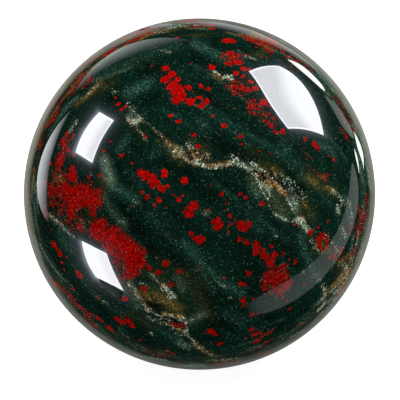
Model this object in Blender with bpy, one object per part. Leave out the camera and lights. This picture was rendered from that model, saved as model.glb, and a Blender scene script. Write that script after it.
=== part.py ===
"""A polished bloodstone ball, standing on a small flat at its lowest point.

The stone is one solid piece. The frame is in metres with +Z up, and its origin is the middle of the
flat that the ball stands on. The face with the largest red patches looks along -Y.
"""

import bmesh
import bpy
from mathutils import Vector

BALL_RADIUS = 0.030
FLAT_RADIUS = 0.003
MERIDIANS = 72
PARALLELS = 46

STONE_GREEN = (0.012, 0.042, 0.033, 1.0)
STONE_ROUGHNESS = 0.06


def clear_scene():
    """Removes every object that the file opens with."""
    for thing in list(bpy.data.objects):
        bpy.data.objects.remove(thing, do_unlink=True)


def polished_stone():
    """The finish of the ball: dark green chalcedony with a glassy polish."""
    finish = bpy.data.materials.new("bloodstone")
    finish.use_nodes = True
    shader = finish.node_tree.nodes["Principled BSDF"]
    shader.inputs["Base Color"].default_value = STONE_GREEN
    shader.inputs["Roughness"].default_value = STONE_ROUGHNESS
    shader.inputs["Metallic"].default_value = 0.0
    return finish


def centre_height():
    """How high the ball's centre is above the flat that was ground at its foot."""
    return (BALL_RADIUS**2 - FLAT_RADIUS**2) ** 0.5


def stone_ball(finish):
    """A ball of meridians and parallels, cut level across its foot and closed there with one face."""
    shape = bmesh.new()
    bmesh.ops.create_uvsphere(
        shape, u_segments=MERIDIANS, v_segments=PARALLELS, radius=BALL_RADIUS
    )
    cut = bmesh.ops.bisect_plane(
        shape,
        geom=shape.verts[:] + shape.edges[:] + shape.faces[:],
        plane_co=Vector((0.0, 0.0, -centre_height())),
        plane_no=Vector((0.0, 0.0, -1.0)),
        clear_outer=True,
    )
    foot_rim = [part for part in cut["geom_cut"] if isinstance(part, bmesh.types.BMEdge)]
    bmesh.ops.edgeloop_fill(shape, edges=foot_rim)
    bmesh.ops.recalc_face_normals(shape, faces=shape.faces[:])
    mesh = bpy.data.meshes.new("stone")
    shape.to_mesh(mesh)
    shape.free()
    mesh.shade_smooth()
    mesh.materials.append(finish)
    stone = bpy.data.objects.new("stone", mesh)
    stone.location.z = centre_height()
    bpy.context.scene.collection.objects.link(stone)
    return stone


def main():
    """Builds the ball."""
    clear_scene()
    stone_ball(polished_stone())


main()
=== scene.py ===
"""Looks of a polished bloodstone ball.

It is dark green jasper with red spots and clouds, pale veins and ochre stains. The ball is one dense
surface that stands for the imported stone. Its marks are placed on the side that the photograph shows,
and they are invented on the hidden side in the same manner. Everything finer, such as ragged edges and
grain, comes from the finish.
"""

import logging
import math
from dataclasses import dataclass, field
from enum import Enum
from typing import Sequence

import bpy
import numpy as np
from mathutils import Matrix, Vector


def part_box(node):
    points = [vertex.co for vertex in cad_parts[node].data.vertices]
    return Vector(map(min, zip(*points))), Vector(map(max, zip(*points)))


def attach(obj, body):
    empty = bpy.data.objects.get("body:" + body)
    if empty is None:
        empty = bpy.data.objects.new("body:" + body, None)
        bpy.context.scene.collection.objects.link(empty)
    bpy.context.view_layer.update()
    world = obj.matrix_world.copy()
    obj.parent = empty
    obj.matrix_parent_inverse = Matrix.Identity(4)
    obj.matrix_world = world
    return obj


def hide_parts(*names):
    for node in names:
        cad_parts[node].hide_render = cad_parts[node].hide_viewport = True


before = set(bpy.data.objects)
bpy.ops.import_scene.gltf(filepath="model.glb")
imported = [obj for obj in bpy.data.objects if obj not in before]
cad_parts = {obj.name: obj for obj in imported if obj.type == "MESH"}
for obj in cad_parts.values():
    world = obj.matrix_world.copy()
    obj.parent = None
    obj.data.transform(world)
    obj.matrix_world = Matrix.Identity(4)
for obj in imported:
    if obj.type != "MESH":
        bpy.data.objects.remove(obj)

MM = 0.001
TINY = 1e-9
STONE_NODE = "stone"
STONE_BODY = "root"

Point = tuple[float, float]
Range = tuple[float, float]
Spot = tuple[float, float, float]
Chain = tuple[float, ...]
Colour = tuple[float, float, float, float]

# Red spots, each a column, a row and a radius in the photograph's pixels.
UPPER_ISLAND: tuple[Spot, ...] = (
    (166, 68, 4), (172, 74.5, 4.8), (165.5, 79, 5.6), (178, 79.5, 3.4), (173.5, 85, 6), (177.5, 90, 7.4),
    (179.5, 96, 7.6), (189, 88, 2.9), (176.5, 101.5, 4), (190.7, 101.5, 4.8), (201, 86, 3), (208, 89, 2.5),
    (200, 98, 2.5), (206.5, 101.5, 3.5), (202.5, 105.5, 3), (191, 63.5, 1.2), (151.5, 66, 0.9),
    (177, 37.7, 2), (188.5, 86.5, 2.2), (169, 87, 3),
)
VEIN_HEAD: tuple[Spot, ...] = ((115.5, 97.7, 1.5), (118.3, 104, 2.5), (125.6, 106.6, 1.8), (122, 109.5, 2))
UPPER_RIGHT: tuple[Spot, ...] = (
    (226, 41, 4.5), (231.5, 40.5, 5), (231, 53.5, 4), (224, 54, 2.4), (228.6, 63.5, 3.8), (238, 62.5, 4.4),
    (243.5, 68.7, 3.2), (248.5, 69, 3), (235.7, 73, 3.4), (243.4, 76.3, 2.8), (211.5, 67.5, 4),
    (212.8, 28.7, 3.5), (248.5, 89.7, 3.6), (251, 81.5, 3), (256, 88.5, 3), (271.4, 126, 2.6),
    (264.4, 102, 4), (270, 106.4, 1.5), (282.6, 131.6, 3.5), (305.2, 139, 2.5), (314.4, 143.6, 3.2),
    (317, 147, 3), (319.5, 150.6, 0.8), (334, 160, 2), (328.8, 155.7, 1), (276, 132, 2), (283, 52, 2.4),
    (221.5, 57, 2), (248, 55, 1.4), (327.5, 175.5, 2),
)
MIDDLE_DOTS: tuple[Spot, ...] = (
    (170.6, 115.6, 2.3), (179.5, 121, 2.6), (193.9, 134.8, 2.2), (198, 146.6, 2.6), (212.3, 115.9, 1.8),
    (234, 108.3, 1), (224.2, 125.5, 2.8), (240.5, 136.7, 2.6), (242.2, 143.9, 1.2), (259.6, 150.5, 0.8),
    (271, 153.6, 1), (121.6, 155.4, 2.4), (132.3, 162.8, 1.4), (111.5, 141.5, 1.3), (145, 136.7, 2),
    (211, 184.5, 0.7),
)
LEFT_SCATTER: tuple[Spot, ...] = (
    (67, 134, 3), (73, 136, 2.4), (64, 140, 2.2), (64.6, 145, 3.2), (68.5, 150.4, 2.6), (61.5, 155.5, 4),
    (60.8, 162, 4), (58.3, 168, 3), (50.6, 164, 2.4), (74, 155, 2), (72.5, 174.5, 6.2), (72, 169.5, 4.4),
    (74.5, 179, 3.6), (89.2, 177, 2), (99.6, 175.5, 2), (103, 180.5, 1.2), (104, 150.7, 1.6),
    (54, 244.5, 4), (60, 254, 4), (57, 249, 2.4), (61.8, 262.7, 2), (66.5, 257, 1.2), (79.4, 275.5, 4),
    (77, 272, 2.4), (73.3, 288.8, 2), (64.2, 270, 1.5), (53, 119.8, 3), (46, 125, 2), (33.7, 169.5, 2.6),
    (96.8, 297.4, 1.5),
)
CENTRE: tuple[Spot, ...] = (
    (140.6, 173.3, 3.8), (145.7, 175.3, 5.2), (150.8, 178.4, 5.8), (154.6, 182.3, 5), (152, 185.5, 3),
    (164.2, 173, 4), (162.3, 188.6, 4), (168, 186, 1.6), (184.5, 180.4, 3.8), (142.2, 192.5, 2),
    (147.2, 197.1, 2.6), (159, 200.3, 3), (173.8, 195, 1.2), (178.5, 199.8, 2.5), (183, 195.7, 1.1),
    (154.5, 205.2, 1.4), (166.7, 207.5, 1.1), (133.6, 206.4, 0.9), (194, 204.6, 3.8), (196.6, 207, 2.8),
    (189.6, 212, 5), (191.5, 208, 3), (187.3, 215, 3), (191.8, 233.6, 2.4), (197.8, 239, 3.6),
    (201.5, 239, 3.6), (200, 241.5, 3), (165.5, 234.9, 1.3), (165.5, 263.3, 3.7), (179.7, 271.1, 2.6),
    (148.9, 268, 3.3), (157.8, 272, 2.8), (170.9, 284.4, 2.7), (199, 268.8, 1), (224.5, 277.3, 1.2),
    (208.6, 209.6, 1.1), (143.6, 288.5, 3.2), (124.8, 299, 3.5), (162.5, 272.6, 1.3),
)
LOWER_RIGHT: tuple[Spot, ...] = (
    (221.7, 194.1, 2.3), (240.8, 194, 2.1), (246.2, 197.6, 1.8), (261.7, 203.4, 3), (217.3, 220.6, 3.6),
    (220, 224.6, 3.8), (214.6, 223, 3.6), (217.2, 227.6, 3.2), (239.6, 224.4, 3.2), (243, 228, 4),
    (241.5, 223.5, 3.4), (249.4, 223.6, 3.4), (246.4, 229, 2.4), (230, 215.3, 2), (228.5, 232, 1.4),
    (232.6, 224.2, 1.4), (239.9, 239.3, 2.8), (247, 242.5, 2.6), (256, 244.5, 3.6), (258.5, 247, 2.6),
    (256.5, 251.6, 3.6), (254, 254.6, 2.2), (264, 250, 2.4), (262.8, 255.6, 3.6), (267.5, 256.5, 3),
    (270.4, 262.8, 4.6), (267.6, 262, 3), (274.6, 254.6, 3.6), (272.4, 260, 3), (272, 246.5, 2.2),
    (283, 253.8, 2), (289.5, 258.8, 1.3), (295.1, 262, 2.2), (248.4, 273.8, 3), (241, 283.3, 2.2),
    (282.5, 264.8, 1.6), (304.3, 284.7, 1.5), (288.8, 309.4, 2.1), (243.6, 301, 2.2), (241, 300, 1.5),
    (245, 298, 1.2), (243.7, 305.3, 2), (251.7, 314.8, 2.8), (258.2, 314.8, 1.4), (294.5, 224.5, 1.7),
    (310.2, 232.4, 3.7), (318.8, 227, 2.2), (327.6, 221.8, 1.7), (320, 235, 2.6), (324, 234, 2.4),
    (326.5, 238, 2.6), (327.4, 242, 2.4), (326.6, 246, 2.3), (323.4, 249.5, 2.4), (319.4, 247, 2.6),
    (318.2, 243, 2.3), (318.2, 239, 2.4), (322, 238.6, 2.6), (321, 243, 1.8), (330, 257.6, 2.4),
    (335, 256.6, 2), (340, 252.6, 2.4), (339, 260, 1.8), (334.6, 248.6, 1.4), (300.2, 324, 1.8),
    (244.7, 284.7, 1.8), (252.5, 298.6, 1.6), (265.2, 288.8, 1.8), (287.6, 301, 1.3),
)
LOWER: tuple[Spot, ...] = (
    (210.6, 330.6, 3.4), (213, 333, 3.4), (208.6, 332, 2.6), (220.3, 343.7, 3.2), (251.7, 329.4, 2.8),
    (246.4, 338, 1.3), (255.5, 334.5, 3), (259, 333, 2.4), (258, 341, 2.4), (98.8, 318.5, 3.4),
    (102, 321, 2.2), (109.7, 328, 4), (113, 331, 2.2), (117, 319.2, 3.6), (122.5, 322, 3.4),
    (128, 320.5, 3.6), (132, 325.6, 3.4), (140.6, 340, 2), (168, 348, 1.3), (177.9, 360.7, 1.4),
    (217, 335.4, 1.2), (120, 299.5, 1.4),
)
RED_SPOTS: tuple[tuple[Spot, ...], ...] = (
    UPPER_ISLAND, VEIN_HEAD, UPPER_RIGHT, MIDDLE_DOTS, LEFT_SCATTER, CENTRE, LOWER_RIGHT, LOWER,
)

# Rings of small red spots, each a column, a row, the ring's radius and the number of spots.
RED_RINGS: tuple[tuple[float, float, float, int], ...] = (
    (253, 109, 5, 5), (267.6, 118, 5, 5), (256.5, 104, 4, 3), (249.5, 105, 3, 3),
)

# Scattered small red spots, each a column, a row, the spread and the number of spots.
RED_SPRINKLES: tuple[tuple[float, float, float, int], ...] = (
    (232, 86.5, 6, 6), (242, 89, 6, 7), (237, 54, 7, 5), (66, 148, 9, 8), (60, 168, 9, 6), (93, 182, 7, 5),
    (66, 224, 12, 8), (243, 303, 5, 4), (229, 205, 8, 5), (232, 220, 7, 5), (334, 250, 8, 5),
    (270, 122, 6, 5), (262, 47, 9, 6), (196, 96, 8, 4), (345, 262, 8, 4), (120, 264, 8, 5),
    (305, 158, 6, 3), (290, 60, 6, 4), (128, 330, 9, 3), (292, 66, 9, 7), (268, 58, 7, 5),
)

# Red strands, each a radius and then both ends' columns and rows. Most are spots drawn out along the limb.
RED_STRANDS: tuple[Chain, ...] = (
    (2.6, 244.6, 35.5, 256, 41), (2.4, 256, 41, 270, 51), (2.2, 288, 57, 300, 66), (1.6, 262, 40, 280, 47),
    (0.5, 303, 151, 308, 155), (0.6, 308, 155, 313, 159.5), (0.5, 305.5, 164, 315, 171),
    (0.75, 315, 171, 321.5, 176), (1, 321.5, 176, 326.6, 181), (2, 336, 98, 343, 107),
    (1.7, 338, 108, 345, 121), (1.8, 342, 130, 347, 137), (1.6, 350, 124, 355, 136), (2.2, 83, 79, 71, 94),
    (1.8, 91, 79, 84, 87), (1.4, 84, 78.6, 88, 76.6), (2.4, 112, 51, 101.6, 56.5), (2.6, 127, 44, 138, 38),
    (2.6, 138, 38, 149, 33), (1.8, 125, 38, 150, 28), (2.8, 58.3, 109.6, 50.6, 122.3),
    (2.4, 40.4, 140.8, 39.8, 147), (1.6, 183, 22.5, 196, 21.5), (1.5, 358, 208, 361, 222),
    (1.3, 363, 206, 365, 222), (1.3, 357, 226, 355.6, 235), (1.6, 362, 226, 361, 235),
    (1.2, 355, 249, 356.6, 256), (1.4, 352, 226, 349, 233), (1.2, 339.5, 253, 343, 247),
    (1.3, 346.5, 261, 349, 253), (1.2, 346, 284, 338, 294), (1.6, 50.3, 278.5, 58, 286),
    (1.6, 58, 286, 66, 293.5), (2, 66, 290, 80.6, 307.6), (1.6, 70, 297, 84, 311),
    (1.8, 80.6, 307.6, 92, 316), (2, 86, 317, 96, 327), (1.6, 124, 318, 132, 324.5),
    (1.1, 143, 348, 151, 351.6), (0.8, 153, 354.4, 162, 357.6), (1, 159, 352.5, 167.5, 356),
    (0.9, 166, 350.6, 173, 353.6), (1.5, 215, 363.8, 228.4, 362.8), (1.3, 228.4, 362.8, 239.3, 360.6),
    (2.2, 255.5, 341.5, 262, 336.5), (2.2, 262, 336.5, 270.6, 331.8), (1, 264, 343, 271, 340),
    (1.1, 254, 349, 265, 346.4), (1, 254, 355, 266, 352), (1.6, 253, 335.5, 258.5, 332.5),
    (1.8, 44, 205, 46, 216), (1.6, 26.5, 186, 27.5, 200), (1.4, 30.5, 228, 34, 241),
    (1.6, 366, 196, 368.4, 206),
)

# Red clouds, each a column, a row, a radius and how full the cloud is there.
RED_CLOUDS: tuple[tuple[float, float, float, float], ...] = (
    (66, 190, 8, 1), (70, 197, 9, 1), (78, 192, 8, 1), (86, 191.5, 6.5, 1), (92, 195, 7, 0.95),
    (95, 201, 6.5, 1), (88, 200, 7, 1), (79, 200, 8.5, 1), (73, 207, 7, 1), (71, 212, 5.5, 1),
    (74, 216, 4.4, 0.9), (92.5, 207, 5, 1), (92, 212, 3, 0.9), (99.5, 203, 3.4, 0.9), (51, 187, 5, 0.9),
    (51.5, 194, 4.6, 1), (58, 190, 6, 0.9), (60, 182, 5.5, 0.7), (55, 177, 5, 0.45), (45.5, 183, 4, 0.55),
    (62, 196, 5, 0.95), (65, 177, 4, 0.45), (89, 186, 3, 0.7), (55, 203, 5, 0.55), (50.5, 203.5, 3, 0.8),
    (60, 212, 6, 0.42), (63, 205, 4, 0.7), (54, 213, 4, 0.4), (68, 222, 3, 0.85), (62, 222, 3.6, 0.45),
    (79.5, 226, 3.6, 0.8), (81, 219, 2.4, 0.6), (74, 229, 3.4, 0.5), (97, 192, 4, 0.7),
    (100.5, 196, 2.4, 0.8), (85, 231, 3.4, 0.6), (101, 188, 4, 0.36), (65, 150, 5.5, 0.55),
    (62, 144, 6, 0.48), (68, 138, 6, 0.48), (58, 160, 7, 0.56), (61, 157, 4.4, 0.9), (60, 165, 3.6, 0.85),
    (95, 227, 6.5, 0.9), (103, 226, 6.5, 0.95), (92, 234, 4.4, 0.8), (99, 235, 8, 1), (108, 236, 8.5, 1),
    (115, 231, 5.5, 0.75), (116, 240, 9, 1), (121, 238, 6, 0.8), (127, 246, 9, 0.95), (134, 252, 9.5, 1),
    (137, 261, 9, 1), (132, 268, 8, 1), (127, 258, 8, 0.95), (127, 275, 6.5, 0.85), (142, 252, 5, 0.75),
    (118, 253, 8, 0.8), (117, 263, 6, 0.6), (120, 277, 6, 0.45), (111, 248, 8, 0.85), (125, 282, 4, 0.4),
    (268.8, 277, 6.5, 0.95), (266, 283, 5, 0.8), (277, 272, 6, 0.8), (282, 277.3, 6.5, 0.95),
    (283, 268, 4, 0.75), (275, 283, 6, 0.9), (286, 285, 7, 0.9), (279, 291, 6, 0.85), (271, 291, 4, 0.6),
    (283, 296, 4, 0.6), (256, 108, 9, 0.29), (268, 119, 9, 0.29), (238, 88, 10, 0.42), (235, 58, 11, 0.4),
    (364, 216, 9, 0.56), (360, 229, 8, 0.54), (350, 118, 8, 0.4), (270, 46, 9, 0.45), (293, 60, 7, 0.4),
    (74, 302, 8, 0.42), (88, 314, 7, 0.42), (142, 33, 8, 0.4), (78, 84, 8, 0.36), (336, 254, 7, 0.36),
    (120, 322, 8, 0.25), (173, 324.5, 3, 0.85), (178, 326, 3.6, 0.9), (183, 325, 3, 0.85),
    (258, 175, 2, 0.5),
)

# Shreds along the ball's rim: from and to which turn in degrees, the least and greatest reach as shares of
# the ball's radius in the picture, how many, and the soft values that they take in turn.
RIM_SHREDS: tuple[tuple[float, float, float, float, int, str], ...] = (
    (88, 112, 0.94, 0.99, 24, "pale olive ochre cloud"),
    (112, 150, 0.935, 0.985, 40, "olive teal cloud pale ochre"),
    (150, 176, 0.935, 0.985, 26, "ochre olive teal ochre"),
    (176, 215, 0.92, 0.985, 44, "teal olive teal pale"), (215, 262, 0.92, 0.985, 24, "teal olive teal"),
    (262, 318, 0.92, 0.99, 20, "olive teal teal"),
    (318, 345, 0.93, 0.985, 44, "ochre olive pale teal pale granules"),
    (345, 372, 0.92, 0.985, 36, "olive teal pale teal"), (12, 45, 0.92, 0.985, 36, "teal olive teal pale"),
    (45, 78, 0.915, 0.985, 40, "olive cloud teal ochre teal"),
    (95, 180, 0.965, 0.992, 32, "olive ochre teal pale"), (180, 260, 0.965, 0.992, 24, "pale olive teal"),
    (260, 345, 0.965, 0.992, 26, "teal olive pale"),
    (345, 455, 0.965, 0.992, 34, "pale olive teal pale teal"),
)

# The pale backdrop in the polish at the rim, each a turn in degrees round the picture of the ball, the
# brightness at the rim, how far in it reaches as a share of the ball's radius, how fast it fades, and
# the brightness of its faint tail.
RIM_VEIL: tuple[tuple[float, float, float, float, float], ...] = (
    (0, 0.235, 0.962, 1.0, 0.003), (20, 0.32, 0.962, 1.0, 0.003), (45, 0.33, 0.958, 1.2, 0.003),
    (60, 0.27, 0.958, 1.3, 0.003), (75, 0.2, 0.955, 1.5, 0.003), (92, 0.19, 0.955, 1.5, 0.003),
    (105, 0.27, 0.955, 1.2, 0.003), (115, 0.28, 0.955, 1.1, 0.003), (130, 0.3, 0.967, 1.0, 0.004),
    (145, 0.31, 0.964, 0.8, 0.004), (160, 0.31, 0.964, 0.8, 0.004), (175, 0.28, 0.96, 0.9, 0.005),
    (190, 0.25, 0.957, 0.95, 0.006), (210, 0.19, 0.96, 0.9, 0.007), (240, 0.13, 0.962, 0.9, 0.007),
    (270, 0.085, 0.962, 0.8, 0.007), (300, 0.14, 0.952, 1.8, 0.006), (320, 0.19, 0.957, 1.6, 0.007),
    (340, 0.23, 0.96, 1.0, 0.006),
)

# Pale threads of the veins, each a half width in pixels and then the columns and rows of a chain of
# places in the photograph.
PALE_THREADS: tuple[Chain, ...] = (
    (0.6, 134, 110.5, 135.5, 114, 136, 118.5), (0.8, 127, 118, 130, 121, 134, 124, 137.5, 127.5),
    (0.5, 136.5, 126.5, 138.5, 129, 141, 132, 143, 134, 145, 137, 147.5, 141.5),
    (0.4, 138, 116, 142, 118.5, 146, 123, 150, 125.3), (0.4, 150, 125.3, 153, 128.5, 157, 132.5, 160, 134),
    (0.36, 160, 134, 163, 138, 166.5, 139.5, 168.5, 142.5, 173, 147), (0.6, 183, 158, 190, 162, 194.5, 164),
    (1.3, 190, 148, 193, 146.6), (1.6, 194.5, 160.5, 197, 163, 201, 164.5),
    (0.7, 337.2, 206.5, 337.8, 211.5), (1.1, 176, 149.5, 180, 151.5), (1, 131, 121, 136, 122.5, 140, 120.5),
    (0.9, 166, 288.5, 169, 292.5, 172, 296), (0.7, 255.6, 172.5, 258.5, 173.4), (1.1, 250, 168.6, 253, 170),
    (1, 265, 184.5, 269.5, 186),
    (0.8, 199, 165.5, 205, 167, 210, 168, 216.6, 167.6, 221, 165, 228.7, 164.3),
    (0.6, 228.7, 164.3, 234, 163, 238, 163.5, 243, 167, 249, 169.5),
    (0.6, 249, 169.5, 252.5, 173, 255, 177, 259, 181.5), (0.5, 251, 163, 255, 167, 260, 170),
    (0.5, 259, 180, 261, 186, 263, 192, 266, 197.5, 268.5, 201),
    (0.45, 263, 184, 269, 185, 271, 189, 270, 193, 268.5, 199),
    (0.42, 268.5, 201, 269, 205.5, 273, 211, 277, 216),
    (0.5, 277, 216, 281, 217.5, 285.5, 221.5, 292, 222, 297, 220),
    (0.55, 284.5, 193, 288, 200, 291, 206, 294, 212, 298, 218),
    (0.36, 290, 189, 294, 193, 296, 199, 297.5, 206, 297, 212),
    (0.3, 277, 176, 283, 181.5, 290, 186, 297, 189, 302, 193, 308, 196.5),
    (0.3, 291, 189, 297, 194, 300.5, 198, 304, 204), (1, 298.6, 219, 301, 222, 304, 226),
    (0.8, 304, 226, 307.5, 230), (0.4, 262, 170, 266, 176, 266, 181), (0.4, 270, 172, 276, 174, 277, 179),
    (0.3, 306, 240, 304.8, 250, 306.4, 258), (0.3, 313, 222, 312.5, 228, 316, 235),
    (0.45, 322.9, 287.4, 324, 294, 323, 300, 321.5, 307), (0.4, 313, 312, 305, 319, 296.5, 325.4),
    (0.45, 322, 243, 315, 245, 318, 251), (0.5, 336, 190.8, 340, 195.3, 341.9, 199.7, 341, 206),
    (0.34, 343, 200, 348, 207, 351, 213, 352, 221), (0.5, 327, 186, 333, 189.5, 336, 190.8),
    (0.3, 338, 218, 340, 226), (0.5, 150, 273, 155, 278.5, 158, 282.5, 163, 286),
    (0.4, 141, 283, 147, 284.5, 150, 287), (0.6, 164, 287, 168, 292, 170, 297),
    (0.5, 169, 289, 171.5, 292, 173, 297), (0.45, 134, 288, 138, 294, 141, 299, 144, 303, 147, 309.5),
    (0.9, 146, 311, 149, 311.5),
    (0.5, 151, 310, 157, 314.5, 163, 317.5, 170, 321.5, 174, 328, 180, 331.5, 186, 332),
    (0.55, 163, 314, 170, 314.5, 176, 315.5, 182, 317, 185, 320, 187.5, 328, 187, 333),
    (0.5, 188.5, 334, 192, 338.5, 196, 343), (0.4, 193, 344, 200, 348.5, 206, 352.5, 214, 356),
    (0.3, 176, 336, 182, 341, 187, 343), (0.3, 178, 346, 184, 347, 188, 350),
    (0.45, 205, 362, 214, 359.6, 224, 359, 236, 358),
    (0.6, 40, 244, 46.4, 256, 51, 264, 57, 272.5, 66, 282), (0.4, 46, 250, 54, 264, 66, 279, 80, 296),
    (0.3, 51, 216.5, 58, 222, 62, 226, 66.5, 229.5, 71, 233), (0.4, 76.8, 121.7, 70.4, 131),
    (0.35, 276, 133, 285.5, 141), (0.36, 238, 50, 246, 54.5, 252, 58.5),
    (0.6, 98, 84, 94, 90, 88, 95.5, 82, 100), (0.7, 343, 282, 346, 276, 345, 270, 349, 264, 351, 258),
    (0.9, 336, 298, 344, 289, 352, 277, 359, 263), (0.8, 360, 262, 364, 252, 367, 243),
    (0.8, 322, 313, 330, 305, 338, 296), (0.4, 126, 103, 129, 107, 131, 110),
    (0.8, 318, 312, 322, 307, 327, 302), (0.3, 306.4, 258, 308, 263, 311, 268, 314, 274),
    (0.34, 314, 274, 319, 280, 322, 287), (0.3, 240, 345, 252, 341.5, 262, 337.5),
    (0.3, 340, 226, 344, 233, 346, 238), (0.5, 71, 86, 80, 78, 88, 72, 98, 62),
    (0.4, 353, 238, 351.5, 247, 350, 258), (0.5, 352, 214, 352, 224),
)

# Soft strokes of the pattern, each a width in pixels, a strength and then the columns and rows of a chain
# of places in the photograph.
OCHRE_STROKES: tuple[Chain, ...] = (
    (4.5, 0.5, 88, 95, 98, 85), (2.4, 0.5, 174, 147, 179, 149), (3.6, 0.5, 190, 152, 206, 157),
    (1.6, 1, 195, 155.5, 199, 158), (1.3, 1, 206, 165.4, 229, 163.2), (1.8, 1, 256, 173.5, 259, 175.5),
    (2.2, 0.6, 265, 169, 268, 175, 267, 181), (2, 0.5, 273, 168, 276, 175, 275, 180),
    (2.4, 1.1, 268, 184, 276, 184.5, 280, 190, 285, 194), (1.5, 0.8, 303, 202, 306, 206),
    (4.4, 0.3, 309, 178, 315, 182), (2.4, 0.5, 319, 176, 326, 178), (2.6, 0.35, 326, 188, 336, 192),
    (4, 0.35, 146, 293, 152, 300), (1.8, 1, 146, 297, 149, 299), (5.4, 0.42, 158, 297, 170, 303, 176, 309),
    (1.8, 0.7, 137, 290, 142, 300, 148, 309), (1.9, 1.1, 164, 313.6, 182, 316.6),
    (1.4, 0.9, 162, 285, 166, 286), (1.4, 0.6, 174, 328, 186, 331),
    (2.8, 0.35, 194, 344, 206, 352, 213, 355), (2.6, 0.3, 212, 361, 232, 360),
    (2.6, 0.85, 328, 291, 335, 283, 341, 275, 344, 270), (3, 0.45, 340, 262, 350, 254),
    (3, 0.5, 336, 298, 346, 285), (4, 0.5, 78, 103, 90, 94, 98, 84), (3, 0.15, 257, 55, 265, 51),
    (2, 0.3, 154, 35, 178, 29), (1.4, 0.15, 176, 37.5, 203, 34), (2.4, 0.6, 215, 75, 221, 79),
    (1.4, 0.3, 136, 126, 140, 131), (1.6, 0.5, 126, 118, 131, 122), (1.4, 0.3, 155, 131, 166, 140),
    (2.8, 0.5, 168, 143, 175, 149, 181, 152), (2.6, 0.5, 176, 154, 186, 158),
    (1.6, 0.5, 186, 160, 196, 165), (2.4, 0.4, 299, 215, 303, 219), (3, 0.4, 330, 252, 318, 243),
    (3, 0.35, 55, 180, 63, 176), (1.8, 0.3, 70, 197, 76, 201), (2, 0.5, 47, 214, 54, 219),
    (2, 0.5, 201, 346, 202, 350), (1, 0.8, 142, 121),
)
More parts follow.
